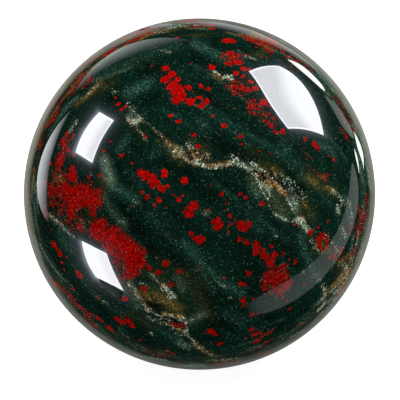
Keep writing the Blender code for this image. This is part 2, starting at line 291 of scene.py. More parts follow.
GRANULE_STROKES: tuple[Chain, ...] = (
    (3.2, 1, 129.5, 119.5, 134, 121.5, 139, 119), (2.4, 0.6, 134, 112, 137, 117),
    (3, 0.25, 128, 104, 133, 111), (1.4, 0.45, 138, 117, 150, 125.5), (1.1, 0.5, 137, 127, 147, 141),
    (1.2, 0.45, 151, 127, 162, 136, 169, 143), (2.2, 0.5, 168, 143, 175, 149),
    (3.2, 0.8, 174, 149, 180, 151), (3, 0.6, 176, 155, 185, 153), (2, 0.75, 189, 148, 193, 146.5),
    (2, 0.3, 185, 142, 193, 141), (4, 0.5, 190, 152, 206, 157), (3, 1, 195, 161, 199, 163),
    (1.6, 0.6, 184, 158, 194, 163), (1.5, 0.8, 204, 166.6, 221, 166.4, 231, 163.8),
    (2.6, 0.7, 233, 162, 246, 167), (2.4, 0.4, 232, 156, 238, 160),
    (2.2, 0.8, 249, 169, 254, 175, 259, 181), (2.6, 0.7, 252, 164, 262, 171),
    (4.6, 0.45, 258, 172, 266, 174, 278, 180, 290, 188, 304, 198), (2.4, 0.7, 262, 184, 270, 186, 269, 192),
    (1.2, 0.6, 259, 182, 263, 192, 268, 200), (3, 0.6, 274, 182, 282, 190), (2.4, 0.3, 255, 178, 257, 186),
    (1.3, 0.6, 275, 214.5, 287, 221), (1.2, 0.6, 288, 200, 294, 212), (2.4, 0.5, 295, 198, 297, 208),
    (2.8, 1.1, 298.5, 219, 302, 223, 307, 229), (2, 0.7, 294, 220, 298, 222),
    (1.8, 0.45, 282, 175, 296, 184), (2.4, 0.25, 300, 193, 306, 197), (2, 0.8, 337.4, 207, 338.2, 212),
    (2.2, 0.6, 332, 190, 340, 197, 344, 204), (3, 0.28, 348, 200, 352, 218), (3, 1, 226, 77, 231, 78),
    (2, 0.7, 215, 72, 220, 76), (2, 0.5, 112, 91, 117, 92), (2, 0.45, 141, 283.5, 147, 286),
    (2, 0.6, 151, 274, 158, 281.5), (3.2, 1.1, 164, 287, 169, 292, 172, 296),
    (2.2, 0.7, 133, 288, 140, 298, 147, 308), (3.4, 0.4, 130, 284, 137, 298),
    (1.3, 1.2, 146.5, 311, 149.5, 311.5), (1.8, 0.7, 150, 309, 158, 315, 171, 321),
    (1.8, 0.9, 164, 314, 183, 317), (2, 1, 177, 318, 184, 321), (1.4, 0.7, 185, 320, 187, 330),
    (1.6, 0.7, 173, 329, 187, 332), (2.2, 0.5, 176, 334, 189, 336), (5, 0.12, 156, 297, 174, 309),
    (1.8, 0.5, 190, 337, 196, 343), (2.6, 0.35, 194, 344, 214, 356), (3.6, 0.25, 179, 341, 187, 349),
    (3, 0.3, 170, 325, 150, 318), (2.4, 0.7, 318, 310, 326, 302), (3.4, 0.6, 322, 286, 325, 292, 324, 300),
    (3, 0.5, 341, 262, 347, 268, 345, 278), (3, 0.4, 313, 276, 320, 280), (2.6, 0.3, 311, 241, 316, 247),
    (4, 0.25, 326, 236, 334, 246, 340, 252), (2.6, 0.4, 340, 226, 346, 238),
    (1.8, 0.6, 48, 213, 60, 224, 74, 237), (5, 0.12, 103, 160, 107, 172, 113, 184),
    (2, 0.5, 121, 221, 125, 223), (1.8, 0.7, 104, 223), (1.6, 0.5, 81, 220, 84, 227), (1.8, 0.5, 157, 257),
    (1.4, 0.7, 151.5, 333, 153, 336), (3.4, 0.2, 192, 320, 200, 315), (1.5, 1, 275, 236),
    (1.8, 0.8, 303, 272), (2.2, 1, 206, 213), (2.8, 0.6, 88, 94, 98, 85), (1.6, 0.35, 160, 50, 170, 53),
    (2.4, 0.35, 246, 56, 257, 60), (1.8, 0.6, 230, 298), (1.8, 0.4, 217, 282, 225, 287),
    (2, 0.6, 70, 131, 76, 122), (2.4, 0.15, 192, 45, 199, 49), (2.4, 0.25, 206, 361, 238, 358),
    (2.4, 0.6, 156, 32, 172, 28, 190, 25.6, 206, 25.4), (3, 0.25, 313, 250, 324, 253),
    (3.4, 0.25, 96, 296, 106, 303), (0.9, 0.55, 203, 124, 203, 128), (1, 0.7, 128, 153),
    (1, 0.9, 118, 158.6), (2, 0.25, 134, 200, 138, 203), (2.4, 0.3, 105, 176, 109, 182),
    (2.6, 0.4, 57, 175, 61, 180), (1.6, 0.4, 70, 198, 75, 200), (1.4, 0.3, 86, 176, 92, 174),
)
PIT_STROKES: tuple[Chain, ...] = (
    (1.8, 0.9, 254, 170.5, 256, 172), (3, 1.05, 261, 173, 264, 178), (3.2, 1, 268, 171, 274, 177.5),
    (3, 1.1, 278, 181.5, 284, 184, 288, 187), (2.6, 1, 291, 191, 297, 192.5, 301, 196),
    (1.8, 0.6, 280, 178, 286, 181), (1.6, 0.6, 303, 199, 307, 205),
    (3.2, 0.8, 189, 152, 198, 154, 206, 156), (1.4, 0.7, 191, 158, 194, 159),
    (4, 0.95, 149, 301.5, 153, 305, 158, 307, 162, 308), (1.6, 0.8, 146, 303, 148, 305),
    (1.6, 0.9, 153, 311, 160, 315.5), (2, 0.95, 166, 317.8, 177, 320.5), (1.4, 0.9, 178, 331.5, 184, 329.5),
    (2, 0.5, 164, 290, 170, 296), (1.2, 0.6, 137, 127.5, 146, 138), (1.2, 0.4, 156, 134, 170, 145),
    (2.6, 0.4, 80, 177, 86, 181), (1.6, 0.8, 70, 186, 75, 185), (2, 0.7, 314, 243),
    (3, 0.4, 94, 168, 92, 163), (1.2, 0.9, 300, 225), (1.4, 0.8, 108, 233), (1.6, 0.7, 126, 246),
    (3, 0.5, 84, 212, 86, 217), (2.4, 0.6, 54, 208, 58, 207), (1.4, 0.6, 246, 229), (1, 0.8, 280, 217),
    (1.6, 0.5, 183, 346), (1.8, 0.4, 142, 332, 146, 336),
)
PALE_STROKES: tuple[Chain, ...] = (
    (3.6, 0.4, 130, 115, 134, 120, 140, 118), (5.2, 1, 104, 160, 107, 170, 111, 181),
    (4, 0.35, 174, 150, 184, 154), (2.4, 0.5, 196, 161, 202, 163), (3, 0.45, 233, 161, 246, 166),
    (4, 0.22, 254, 182, 259, 194), (3, 0.5, 262, 184, 269, 193), (6, 0.15, 275, 198, 282, 212),
    (4, 0.6, 291, 198, 296, 210), (3, 0.6, 299, 218, 303, 225), (2.4, 0.5, 277, 214, 286, 220),
    (3.4, 0.4, 165, 288, 172, 297), (2.4, 0.6, 39, 244, 47, 258, 60, 276),
    (3.4, 0.18, 49, 215, 60, 225, 74, 236), (4, 0.25, 104, 196, 112, 212, 124, 226),
    (4, 0.3, 178, 343, 187, 347), (4.8, 0.35, 190, 321, 204, 314), (2.6, 0.7, 337.4, 208, 338.4, 212.5),
    (2.6, 0.15, 232, 51, 246, 57), (2, 0.25, 163, 50, 170, 52), (3.6, 0.12, 192, 44, 200, 50),
    (2.6, 0.3, 76, 121, 70, 131), (4, 0.2, 346, 198, 351, 226), (3.6, 0.5, 318, 303, 324, 295),
    (3, 0.35, 84, 83, 104, 78, 130, 68), (4, 0.3, 178, 278, 182, 290), (3, 0.5, 188, 28, 206, 29),
    (3, 0.35, 48, 136, 60, 116, 76, 98), (2.8, 0.5, 206, 213), (2.6, 0.3, 151, 334), (2.6, 0.4, 190, 148),
    (6, 0.35, 128, 284, 138, 306), (5, 0.1, 146, 316, 160, 324),
)
TEAL_STROKES: tuple[Chain, ...] = (
    (7, 0.9, 129, 93, 138, 89, 147, 83), (7, 0.35, 100, 74, 124, 64, 150, 53, 178, 46),
    (6, 0.5, 196, 42, 208, 50, 221, 58), (4.4, 0.55, 118, 150, 127, 139),
    (5, 0.7, 111, 186, 124, 192, 136, 199), (3, 0.35, 134, 201, 140, 205), (4, 0.3, 153, 153, 158, 149),
    (9, 0.5, 60, 226, 64, 240, 70, 246), (4.5, 0.55, 189, 248, 196, 255),
    (4.6, 0.6, 184, 244, 204, 266, 222, 282, 234, 291), (5, 0.6, 228, 286, 241, 293),
    (4.5, 0.5, 320, 145, 331, 150, 334, 156), (4, 0.35, 200, 121, 207, 127), (4.5, 0.5, 120, 329, 124, 335),
    (4.5, 0.4, 160, 330, 170, 336), (4, 0.4, 52, 262, 74, 292), (6, 0.35, 228, 314, 241, 322),
    (2, 0.5, 240, 345, 262, 338), (2, 0.4, 254, 330, 285, 318), (2.6, 0.5, 298, 321, 320, 301),
    (2.4, 1.2, 353, 236, 351.5, 247, 350, 260), (4, 0.5, 300, 236, 306, 256, 320, 278),
    (3.4, 0.9, 64, 108, 76, 99), (5, 0.4, 260, 352, 290, 334, 308, 318), (5, 0.5, 58, 120, 70, 104, 84, 96),
    (4, 0.3, 328, 92, 340, 104), (2.6, 0.25, 196, 66, 230, 90, 262, 112),
    (3, 0.3, 204, 104, 240, 131, 290, 158), (2.6, 0.3, 222, 118, 262, 143, 302, 167),
    (3.4, 0.3, 150, 214, 172, 239, 190, 252), (3, 0.2, 126, 168, 146, 196, 168, 226),
    (2.6, 0.2, 205, 172, 236, 200, 262, 232), (2.4, 0.25, 188, 100, 222, 122, 250, 146),
    (2.6, 0.25, 160, 108, 186, 124, 206, 136), (3.4, 0.4, 282, 145, 289, 149),
    (3, 0.3, 306, 118, 330, 138, 346, 160), (3, 0.25, 270, 150, 300, 172, 330, 204),
    (3, 0.4, 204, 276, 214, 292), (3, 0.25, 246, 204, 262, 222, 288, 240),
    (5, 0.25, 72, 262, 96, 296, 120, 314), (4, 0.25, 252, 184, 258, 196), (5, 0.4, 172, 334, 188, 346),
    (4, 0.4, 106, 176, 116, 188),
)
OLIVE_STROKES: tuple[Chain, ...] = (
    (4.4, 0.35, 158, 140, 170, 148, 182, 156), (4.4, 0.5, 168, 150, 180, 162),
    (4, 0.35, 134, 126, 146, 140), (4.6, 0.45, 192, 140, 206, 150), (5, 0.4, 250, 176, 257, 192),
    (7, 0.5, 270, 197, 286, 212), (5, 0.5, 262, 164, 280, 172), (6, 0.6, 306, 176, 316, 184),
    (4.4, 0.8, 318, 186, 335, 193), (6, 0.6, 303, 202, 312, 216), (4.4, 0.5, 302, 224, 312, 238),
    (4, 0.5, 313, 238, 318, 252), (6, 0.6, 92, 92, 112, 83), (6, 0.5, 148, 272, 165, 283),
    (8, 1, 150, 292, 164, 298, 178, 309), (9, 0.4, 186, 276, 196, 294, 204, 314),
    (6, 0.4, 130, 314, 146, 324), (4.4, 0.5, 100, 180, 104, 193), (5, 0.5, 92, 206, 88, 218),
    (4, 0.5, 148, 31, 206, 26), (3, 0.5, 194, 37, 206, 34), (4, 0.3, 255, 57, 265, 51),
    (2.6, 1, 156, 32, 172, 28, 190, 25.6, 206, 25.4), (6, 0.5, 336, 262, 342, 274),
    (4, 0.45, 192, 342, 216, 357), (4, 0.5, 206, 360, 238, 358), (6, 0.5, 144, 290, 152, 300),
    (7, 0.5, 322, 300, 336, 282, 346, 262), (5, 0.7, 345, 292, 358, 268, 368, 240),
    (3, 1, 72, 88, 84, 76, 98, 62), (5, 0.5, 300, 326, 326, 306), (5, 0.2, 130, 66, 150, 58),
    (7, 0.2, 204, 286, 200, 270), (5, 0.2, 246, 148, 262, 156), (7, 0.25, 162, 264, 176, 272),
    (1.6, 1, 345, 292, 357, 270, 366, 248), (5, 0.5, 52, 172, 64, 182), (5, 0.4, 80, 218, 88, 228),
    (3.4, 0.9, 150, 33, 180, 27, 208, 28),
)
DEEP_STROKES: tuple[Chain, ...] = (
    (14, 0.5, 238, 242, 262, 284), (12, 0.4, 276, 226, 297, 258), (9, 0.8, 206, 290, 215, 338),
    (12, 0.25, 244, 304, 292, 330), (7, 0.8, 206, 138, 238, 152, 262, 161),
    (4.5, 0.7, 262, 161, 284, 171, 304, 190), (6, 0.5, 142, 100, 160, 97), (4, 0.6, 138, 75, 162, 66),
    (6, 0.5, 196, 58, 206, 67), (4, 0.8, 122, 204, 145, 237, 166, 266), (4, 0.6, 174, 260, 192, 277),
    (7, 0.6, 164, 162, 190, 176, 214, 198), (6, 0.6, 110, 98, 122, 103), (4, 0.6, 328, 108, 344, 150),
    (9, 0.3, 84, 288, 112, 308), (5, 0.4, 298, 148, 322, 140), (8, 0.5, 210, 178, 232, 186, 248, 206),
    (8, 0.5, 134, 322, 152, 344), (3, 0.5, 154, 210, 182, 246), (2.6, 0.5, 214, 104, 246, 122, 280, 146),
    (3, 0.4, 206, 96, 232, 108), (2.6, 0.4, 240, 142, 268, 152, 300, 172),
    (6, 0.4, 120, 164, 134, 184, 146, 206), (4, 0.4, 318, 150, 340, 182),
    (7, 0.6, 236, 290, 226, 306, 232, 330), (5, 0.4, 314, 232, 330, 236), (3, 0.3, 140, 48, 164, 56),
    (4, 0.5, 218, 36, 214, 46), (4, 0.4, 244, 38, 256, 48), (5, 0.4, 322, 270, 306, 290, 290, 304),
)


def display_colour(red: float, green: float, blue: float) -> Colour:
    """Turns a colour as a screen shows it into the linear one that a shader takes.

    Args:
        red: Share of red on the screen, 0 to 255.
        green: Share of green, 0 to 255.
        blue: Share of blue, 0 to 255.

    Returns:
        Linear red, green, blue and an alpha of 1.
    """
    shares = [value / 255 for value in (red, green, blue)]
    linear = [s / 12.92 if s <= 0.04045 else ((s + 0.055) / 1.055) ** 2.4 for s in shares]
    return (linear[0], linear[1], linear[2], 1.0)


def unit(vectors: np.ndarray) -> np.ndarray:
    """Gives vectors of length 1 along the last axis."""
    return vectors / np.linalg.norm(vectors, axis=-1, keepdims=True)


def add_object(name: str, data: bpy.types.ID) -> bpy.types.Object:
    """Adds an object to the scene."""
    made = bpy.data.objects.new(name, data)
    bpy.context.scene.collection.objects.link(made)
    return made


def store(mesh: bpy.types.Mesh, name: str, values: np.ndarray, domain: str) -> None:
    """Keeps a number or a vector for each of a mesh's vertices or faces."""
    kind, key = ("FLOAT", "value") if values.ndim == 1 else ("FLOAT_VECTOR", "vector")
    layer = mesh.attributes.new(name, kind, domain)
    layer.data.foreach_set(key, values.astype(np.float32).ravel())


@dataclass(frozen=True)
class Picture:
    """The photograph's frame, and the camera that sees the ball as the photograph does.

    The ball's outline says how large and where it is in the picture. A ball doesn't tell how high the
    camera stood or how far off, so the elevation and distance are chosen.
    """

    centre: np.ndarray
    radius: float
    side: float = 400.0
    ball_column: float = 199.5
    ball_row: float = 194.1
    ball_pixels: float = 175.7
    elevation: float = math.radians(20.0)
    distance: float = 0.5
    sensor: float = 36.0
    clip: Range = (0.01, 20.0)

    def spread(self) -> float:
        """Tangent of half the camera's angle of view, from the ball's size in the picture."""
        return self.side / 2 * math.tan(math.asin(self.radius / self.distance)) / self.ball_pixels

    def eye(self) -> np.ndarray:
        """The camera's place."""
        lift = self.elevation
        return self.centre + self.distance * np.array([0.0, -math.cos(lift), math.sin(lift)])

    def axes(self) -> np.ndarray:
        """The camera's right, up and backward directions as rows.

        The camera aims a little past the ball's centre, so that the ball stands where the photograph
        has it.
        """
        lift = self.elevation
        right = np.array([1.0, 0.0, 0.0])
        up = np.array([0.0, math.sin(lift), math.cos(lift)])
        pixel = self.distance * self.spread() / (self.side / 2)
        across = (self.ball_column - self.side / 2) * pixel
        above = (self.side / 2 - self.ball_row) * pixel
        back = unit(self.eye() - (self.centre - across * right - above * up))
        right = unit(np.cross([0.0, 0.0, 1.0], back))
        return np.stack([right, np.cross(back, right), back])

    def sight(self, places: Sequence | np.ndarray) -> tuple[np.ndarray, np.ndarray]:
        """Follows picture points to the ball.

        A line from the camera meets the ball at its nearer crossing, by the quadratic formula. A point
        outside the ball's outline takes the nearest place on the limb.

        Args:
            places: Columns and rows, as pairs or in turn.

        Returns:
            Outward unit vectors at the places on the ball, and the directions of the lines of sight.
        """
        pixels = np.asarray(places, float).reshape(-1, 2)
        half = self.side / 2
        right, up, back = self.axes()
        across = (pixels[:, :1] - half) / half * self.spread()
        above = (half - pixels[:, 1:2]) / half * self.spread()
        lines = unit(across * right + above * up - back)
        offset = self.eye() - self.centre
        nearest = -(lines @ offset)
        inside = nearest**2 - offset @ offset + self.radius**2
        reach = nearest - np.sqrt(np.clip(inside, 0.0, None))
        return unit(offset + reach[:, None] * lines), lines

    def rim_places(self, marks: Sequence[Point]) -> tuple[Point, ...]:
        """Picture points from turns in degrees and reaches as shares of the ball's radius."""
        places = []
        for turn, reach in marks:
            across = reach * self.ball_pixels * math.cos(math.radians(turn))
            above = reach * self.ball_pixels * math.sin(math.radians(turn))
            places.append((self.ball_column + across, self.ball_row - above))
        return tuple(places)

    def facing(self, places: Sequence) -> float:
        """How squarely the ball's skin faces the camera at places, on average: 1 is straight on."""
        normals, lines = self.sight(places)
        return float(-(normals * lines).sum(axis=1).mean())

    def pixel_size(self) -> float:
        """Millimetres on the ball's face that one pixel shows."""
        return self.radius / MM / self.ball_pixels

    def add_camera(self) -> bpy.types.Object:
        """Adds the camera and makes it the scene's own."""
        lens = bpy.data.cameras.new("studio_camera")
        lens.sensor_width = self.sensor
        lens.lens = self.sensor / 2 / self.spread()
        lens.clip_start, lens.clip_end = self.clip
        camera = add_object("studio_camera", lens)
        turn = Matrix([list(row) for row in self.axes()]).transposed().to_4x4()
        camera.matrix_world = Matrix.Translation(self.eye().tolist()) @ turn
        bpy.context.scene.camera = camera
        return camera


class Value:
    """A number that a node puts out, with arithmetic that adds Math nodes."""

    def __init__(self, graph: "Graph", socket: bpy.types.NodeSocket) -> None:
        """Wraps a socket of a graph."""
        self.graph = graph
        self.socket = socket

    def maths(self, operation: str, *others: "Value | float") -> "Value":
        """Adds a Math node on this value and others."""
        return self.graph.node("ShaderNodeMath", {"operation": operation}, [self, *others])

    def __add__(self, other: "Value | float") -> "Value":
        """This value plus another."""
        return self.maths("ADD", other)

    def __sub__(self, other: "Value | float") -> "Value":
        """This value less another."""
        return self.maths("SUBTRACT", other)

    def __mul__(self, other: "Value | float") -> "Value":
        """This value times another."""
        return self.maths("MULTIPLY", other)

    def __truediv__(self, other: "Value | float") -> "Value":
        """This value divided by another."""
        return self.maths("DIVIDE", other)

    __radd__ = __add__
    __rmul__ = __mul__

    def __rsub__(self, other: float) -> "Value":
        """A number less this value."""
        return self.graph.node("ShaderNodeMath", {"operation": "SUBTRACT"}, [other, self])

    def also(self, output: int | str) -> "Value":
        """Another output of the node that puts this value out."""
        return Value(self.graph, self.socket.node.outputs[output])

    def power(self, exponent: float) -> "Value":
        """This value raised to a power."""
        return self.maths("POWER", exponent)

    def highest(self, other: "Value | float") -> "Value":
        """The larger of two values."""
        return self.maths("MAXIMUM", other)

    def centred(self) -> "Value":
        """A noise or a chance less its middle."""
        return self - 0.5

    def clamped(self) -> "Value":
        """This value held between 0 and 1."""
        return self.graph.node("ShaderNodeClamp", {}, [self, 0.0, 1.0])

    def rise(self, low: float, high: float) -> "Value":
        """A smooth step that is 0 below low and 1 above high."""
        settings = {"interpolation_type": "SMOOTHSTEP"}
        inputs = {"Value": self, "From Min": low, "From Max": high}
        return self.graph.node("ShaderNodeMapRange", settings, inputs)


class Graph:
    """Builds a material's nodes."""

    def __init__(self, name: str) -> None:
        """Starts an empty material."""
        self.material = bpy.data.materials.new(name)
        self.material.use_nodes = True
        self.tree = self.material.node_tree
        self.tree.nodes.clear()

    def node(
        self,
        kind: str,
        settings: dict[str, object],
        inputs: "dict[str, object] | Sequence[object]",
        output: int | str = 0,
    ) -> Value:
        """Adds a node.

        Args:
            kind: The node's type.
            settings: Its settings, which are made first.
            inputs: Its sockets' values or links, by name or in order.
            output: The socket that is given back.

        Returns:
            The chosen output.
        """
        made = self.tree.nodes.new(kind)
        for name, value in settings.items():
            setattr(made, name, value)
        pairs = inputs.items() if isinstance(inputs, dict) else enumerate(inputs)
        for place, value in pairs:
            if isinstance(value, Value):
                self.tree.links.new(value.socket, made.inputs[place])
            else:
                made.inputs[place].default_value = value
        return Value(self, made.outputs[output])

    def vector(self, operation: str, *inputs: object, output: int | str = 0) -> Value:
        """Adds a Vector Math node."""
        return self.node("ShaderNodeVectorMath", {"operation": operation}, list(inputs), output)

    def scaled(self, vector: Value, factor: "Value | float") -> Value:
        """A vector or colour times a number."""
        return self.node("ShaderNodeVectorMath", {"operation": "SCALE"}, {"Vector": vector, "Scale": factor})

    def mix(self, factor: "Value | float", first: object, second: object) -> Value:
        """Mixes two colours: the first at 0 and the second at 1."""
        inputs = {0: factor, 6: first, 7: second}
        return self.node("ShaderNodeMix", {"data_type": "RGBA"}, inputs, 2)

    def noise(self, point: Value, size: float, detail: float = 2.0, output: str = "Fac") -> Value:
        """Noise whose lumps are about size millimetres across."""
        inputs = {"Vector": point, "Scale": 1 / size, "Detail": detail, "Roughness": 0.55}
        return self.node("ShaderNodeTexNoise", {}, inputs, output)

    def attribute(self, name: str, output: str = "Fac") -> Value:
        """One of the ball's own values."""
        return self.node("ShaderNodeAttribute", {"attribute_name": name}, {}, output)

    def soft(self, kind: "Field") -> Value:
        """One of the ball's soft values."""
        return self.attribute(kind.value)

    def surface(self, shader: Value) -> bpy.types.Material:
        """Ends the material with its surface shader."""
        end = self.tree.nodes.new("ShaderNodeOutputMaterial")
        self.tree.links.new(shader.socket, end.inputs["Surface"])
        return self.material


class Field(Enum):
    """Soft values that each vertex of the ball holds."""

    CLOUD = "red_cloud"
    OCHRE = "ochre_grains"
    GRANULES = "pale_grains"
    PITS = "dark_pits"
    PALE = "pale_wash"
    TEAL = "teal_wash"
    OLIVE = "olive_wash"
    DEEP = "deep_wash"


class Line(Enum):
    """Sharp marks, of which each face holds the nearest ones."""

    RED = "red"
    PALE = "pale"


# How many of the nearest sharp marks of a kind a face holds.
RANKS = 2


@dataclass
class Grain:
    """The textures that the finish's layers share."""

    graph: Graph
    point: Value
    ragged: Value
    flow: Value
    along: Value
    mottle: Value
    fine: Value
    first: Value
    second: Value
    third: Value


@dataclass(frozen=True)
class BloodstoneFinish:
    """Polished bloodstone. Sizes are millimetres.

    A step is the pair of values at which a smooth step begins and ends, and a cover is how much of what
    is under it a layer hides at most.
    """

    deep_green: Colour = display_colour(4, 14, 9)
    green: Colour = display_colour(6, 31, 22)
    light_green: Colour = display_colour(28, 63, 49)
    teal: Colour = display_colour(41, 80, 67)
    pale: Colour = display_colour(82, 100, 82)
    olive: Colour = display_colour(52, 55, 20)
    umber: Colour = display_colour(38, 42, 26)
    soot: Colour = display_colour(15, 16, 10)
    silver: Colour = display_colour(160, 190, 180)
    amber: Colour = display_colour(158, 88, 36)
    brown: Colour = display_colour(58, 44, 14)
    tan: Colour = display_colour(148, 106, 46)
    dusk: Colour = display_colour(84, 92, 70)
    cream: Colour = display_colour(206, 190, 134)
    chalk: Colour = display_colour(186, 194, 172)
    white: Colour = display_colour(234, 236, 230)
    pit: Colour = display_colour(8, 9, 8)
    dark_red: Colour = display_colour(56, 2, 2)
    red: Colour = display_colour(124, 4, 3)
    bright_red: Colour = display_colour(186, 9, 7)
    orange: Colour = display_colour(200, 70, 40)
    cell: float = 0.145
    dust: float = 0.17
    grit: tuple[tuple[float, float], ...] = ((0.22, 0.5), (0.14, 0.75))
    sway_size: float = 7.0
    sway: float = 6.0
    shake_size: float = 0.4
    shake: float = 0.6
    stretch: tuple[float, float, float] = (0.13, 1.0, 0.4)
    band_size: float = 1.7
    fibre_size: float = 0.4
    mottle_size: float = 0.6
    fine_size: float = 0.2
    lump_size: float = 1.1
    speck_size: float = 0.3
    lobe_size: float = 0.4
    tone_size: float = 0.36
    green_step: Range = (0.0, 0.75)
    light_green_step: Range = (0.62, 1.15)
    fringe_step: Range = (0.02, 0.5)
    tan_step: Range = (0.2, 1.0)
    light_grit_step: Range = (0.1, 1.1)
    white_grit_step: Range = (0.93, 1.0)
    thread_edge: Range = (0.6, 1.7)
    cloud_edge: Range = (-0.04, 0.08)
    spot_edge: Range = (-0.03, 0.04)
    red_step: Range = (0.28, 0.5)
    bright_red_step: Range = (0.5, 0.8)
    wash_cover: float = 0.7
    pale_cover: float = 0.85
    fringe_cover: float = 0.6
    stain_cover: float = 0.85
    umber_cover: float = 0.5
    thread_cover: float = 0.12
    pit_cover: float = 0.95
    # Painted shade: the reds darken along the bands between these distances in millimetres, by up to this
    # share.
    painted_shade_step: Range = (-25.0, -11.0)
    painted_shade: float = 0.3
    index: float = 1.54
    polish: float = 0.03

    def grain(self, graph: Graph, turn: tuple[float, float, float]) -> Grain:
        """Adds the textures that the layers share.

        Args:
            graph: The material's nodes.
            turn: Angles that turn the ball's frame so that its first axis lies along the bands.

        Returns:
            The textures.
        """
        place = graph.node("ShaderNodeTexCoord", {}, {}, "Object")
        point = graph.scaled(place, 1 / MM)
        middle = (0.5, 0.5, 0.5)
        sway = graph.vector("SUBTRACT", graph.noise(point, self.sway_size, 1.0, "Color"), middle)
        bent = graph.vector("ADD", point, graph.scaled(sway, self.sway))
        inputs = {"Vector": bent, "Rotation": turn}
        lined = graph.node("ShaderNodeMapping", {"vector_type": "POINT"}, inputs)
        flow = graph.vector("MULTIPLY", lined, self.stretch)
        along = graph.node("ShaderNodeSeparateXYZ", {}, [lined])
        shake = graph.vector("SUBTRACT", graph.noise(point, self.shake_size, 2.0, "Color"), middle)
        ragged = graph.vector("ADD", point, graph.scaled(shake, self.shake))
        cells = graph.node("ShaderNodeTexVoronoi", {}, {"Vector": point, "Scale": 1 / self.cell}, "Color")
        first = graph.node("ShaderNodeSeparateColor", {}, [cells], "Red")
        mottle = graph.noise(point, self.mottle_size, 3.0)
        fine = graph.noise(point, self.fine_size, 1.0)
        chances = (first, first.also("Green"), first.also("Blue"))
        return Grain(graph, point, ragged, flow, along, mottle, fine, *chances)

    def dots(
        self, graph: Graph, point: Value, likely: Value, small: float, large: float
    ) -> tuple[Value, Value, Value]:
        """Scatters round dots, at most one in a cell.

        A cell holds a dot where its own chance is below likely. The dot's radius is small, plus the
        square of a second chance times what large is more, as shares of the cell.

        Args:
            graph: The material's nodes.
            point: The place in millimetres.
            likely: How likely a cell is to hold a dot.
            small: The least radius.
            large: The greatest radius.

        Returns:
            Where the dots are, the second chance and a third one, which are even over a dot.
        """
        inputs = {"Vector": point, "Scale": 1 / self.dust}
        cells = graph.node("ShaderNodeTexVoronoi", {}, inputs, "Distance")
        odds = graph.node("ShaderNodeSeparateColor", {}, [cells.also("Color")], "Red")
        size, hue = odds.also("Green"), odds.also("Blue")
        radius = size * size * (large - small) + small
        return (likely - odds).rise(0.0, 0.03) * (1 - (cells / radius).rise(0.7, 1.1)), size, hue

    def crumbs(self, graph: Graph, point: Value, cell: float, likely: Value) -> tuple[Value, Value, Value]:
        """Lights whole cells of a pattern, each where its own chance is below likely.

        Args:
            graph: The material's nodes.
            point: The place in millimetres.
            cell: A cell's side in millimetres.
            likely: How likely a cell is to be lit.

        Returns:
            Where the lit cells are, and two more chances of the cell.
        """
        cells = graph.node("ShaderNodeTexVoronoi", {}, {"Vector": point, "Scale": 1 / cell}, "Color")
        odds = graph.node("ShaderNodeSeparateColor", {}, [cells], "Red")
        return (likely - odds).rise(0.0, 0.1), odds.also("Green"), odds.also("Blue")

    def ground(self, grain: Grain) -> Value:
        """The green ground with its bands, washes and dust."""
        graph = grain.graph
        bands = graph.noise(grain.flow, self.band_size, 4.0).centred()
        fibres = graph.noise(grain.flow, self.fibre_size, 3.0).centred()
        mottle = grain.mottle.centred()
        teal, pale = graph.soft(Field.TEAL), graph.soft(Field.PALE)
        olive, deep = graph.soft(Field.OLIVE), graph.soft(Field.DEEP)
        fringe = graph.soft(Field.CLOUD).rise(*self.fringe_step)
        tone = bands * 0.9 + fibres * 0.2 + mottle * 0.2 + 0.4 - deep * 0.42
        base = graph.mix(tone.rise(*self.green_step), self.deep_green, self.green)
        base = graph.mix(tone.rise(*self.light_green_step), base, self.light_green)
        streak = fibres * 0.6 + mottle * 0.5 + bands * 0.4
        coarse, other = grain.second.centred(), grain.third.centred()
        base = graph.mix((teal * (streak + coarse + 0.7)).clamped() * self.wash_cover, base, self.teal)
        base = graph.mix((olive * (streak + other + 0.8)).clamped() * self.wash_cover, base, self.olive)
        base = graph.mix((pale * (streak + coarse + 0.85)).clamped() * self.pale_cover, base, self.pale)
        base = graph.mix(fringe * self.fringe_cover, base, self.soot)
        glints = grain.first.power(4.0) * 0.9 + grain.first.power(24.0) * 2.4
        base = graph.scaled(base, grain.fine.centred() * 0.8 + glints + 0.66)
        likely = teal * 0.35 + pale * 0.45 + olive * 0.2 + fringe * 0.4 + 0.24
        speck, size, hue = self.dots(graph, grain.point, likely, 0.25, 0.5)
        warm = olive * 0.5 + fringe * 0.6 + 0.1
        tint = graph.mix((warm - hue).rise(0.0, 0.05), self.silver, self.amber)
        strength = (size.power(4.0) * 0.21 + 0.015) * (teal * 1.2 + pale * 2.0 + fringe * 2.0 + 1.0)
        return graph.mix((speck * strength).clamped(), base, tint)

    def stained(self, grain: Grain, base: Value) -> Value:
        """Adds the veins' brown stains, pale grit and dark pits."""
        graph = grain.graph
        mottle = grain.mottle.centred()
        ochre = graph.soft(Field.OCHRE)
        stain = (ochre * (mottle * 3.0 + grain.third.centred() * 1.4 + 0.85)).clamped()
        brown = graph.mix(grain.second.rise(*self.tan_step), self.brown, self.tan)
        base = graph.mix(stain * self.stain_cover, base, brown)

        vein = (graph.soft(Field.GRANULES) * (mottle * 3.4 + 0.95)).clamped()
        broken = (mottle * 4.5 + 0.8).clamped() * (grain.second * 1.2 + 0.3).clamped()
        thread = self.drawn(grain) * broken
        dense = vein.highest(thread)
        base = graph.mix(dense * self.umber_cover, base, self.umber)
        base = graph.mix(thread * self.thread_cover, base, self.chalk)
        light = graph.mix(ochre.clamped(), self.chalk, self.cream)
        for cell, share in self.grit:
            lit, tone, hue = self.crumbs(graph, grain.point, cell, dense * share)
            tint = graph.mix(tone.rise(*self.light_grit_step), self.dusk, light)
            tint = graph.mix(tone.rise(*self.white_grit_step), tint, self.white)
            tint = graph.mix((ochre * 0.5 + 0.03 - hue).rise(0.0, 0.1), tint, self.amber)
            base = graph.mix(lit * (tone * 0.65 + 0.2), base, tint)

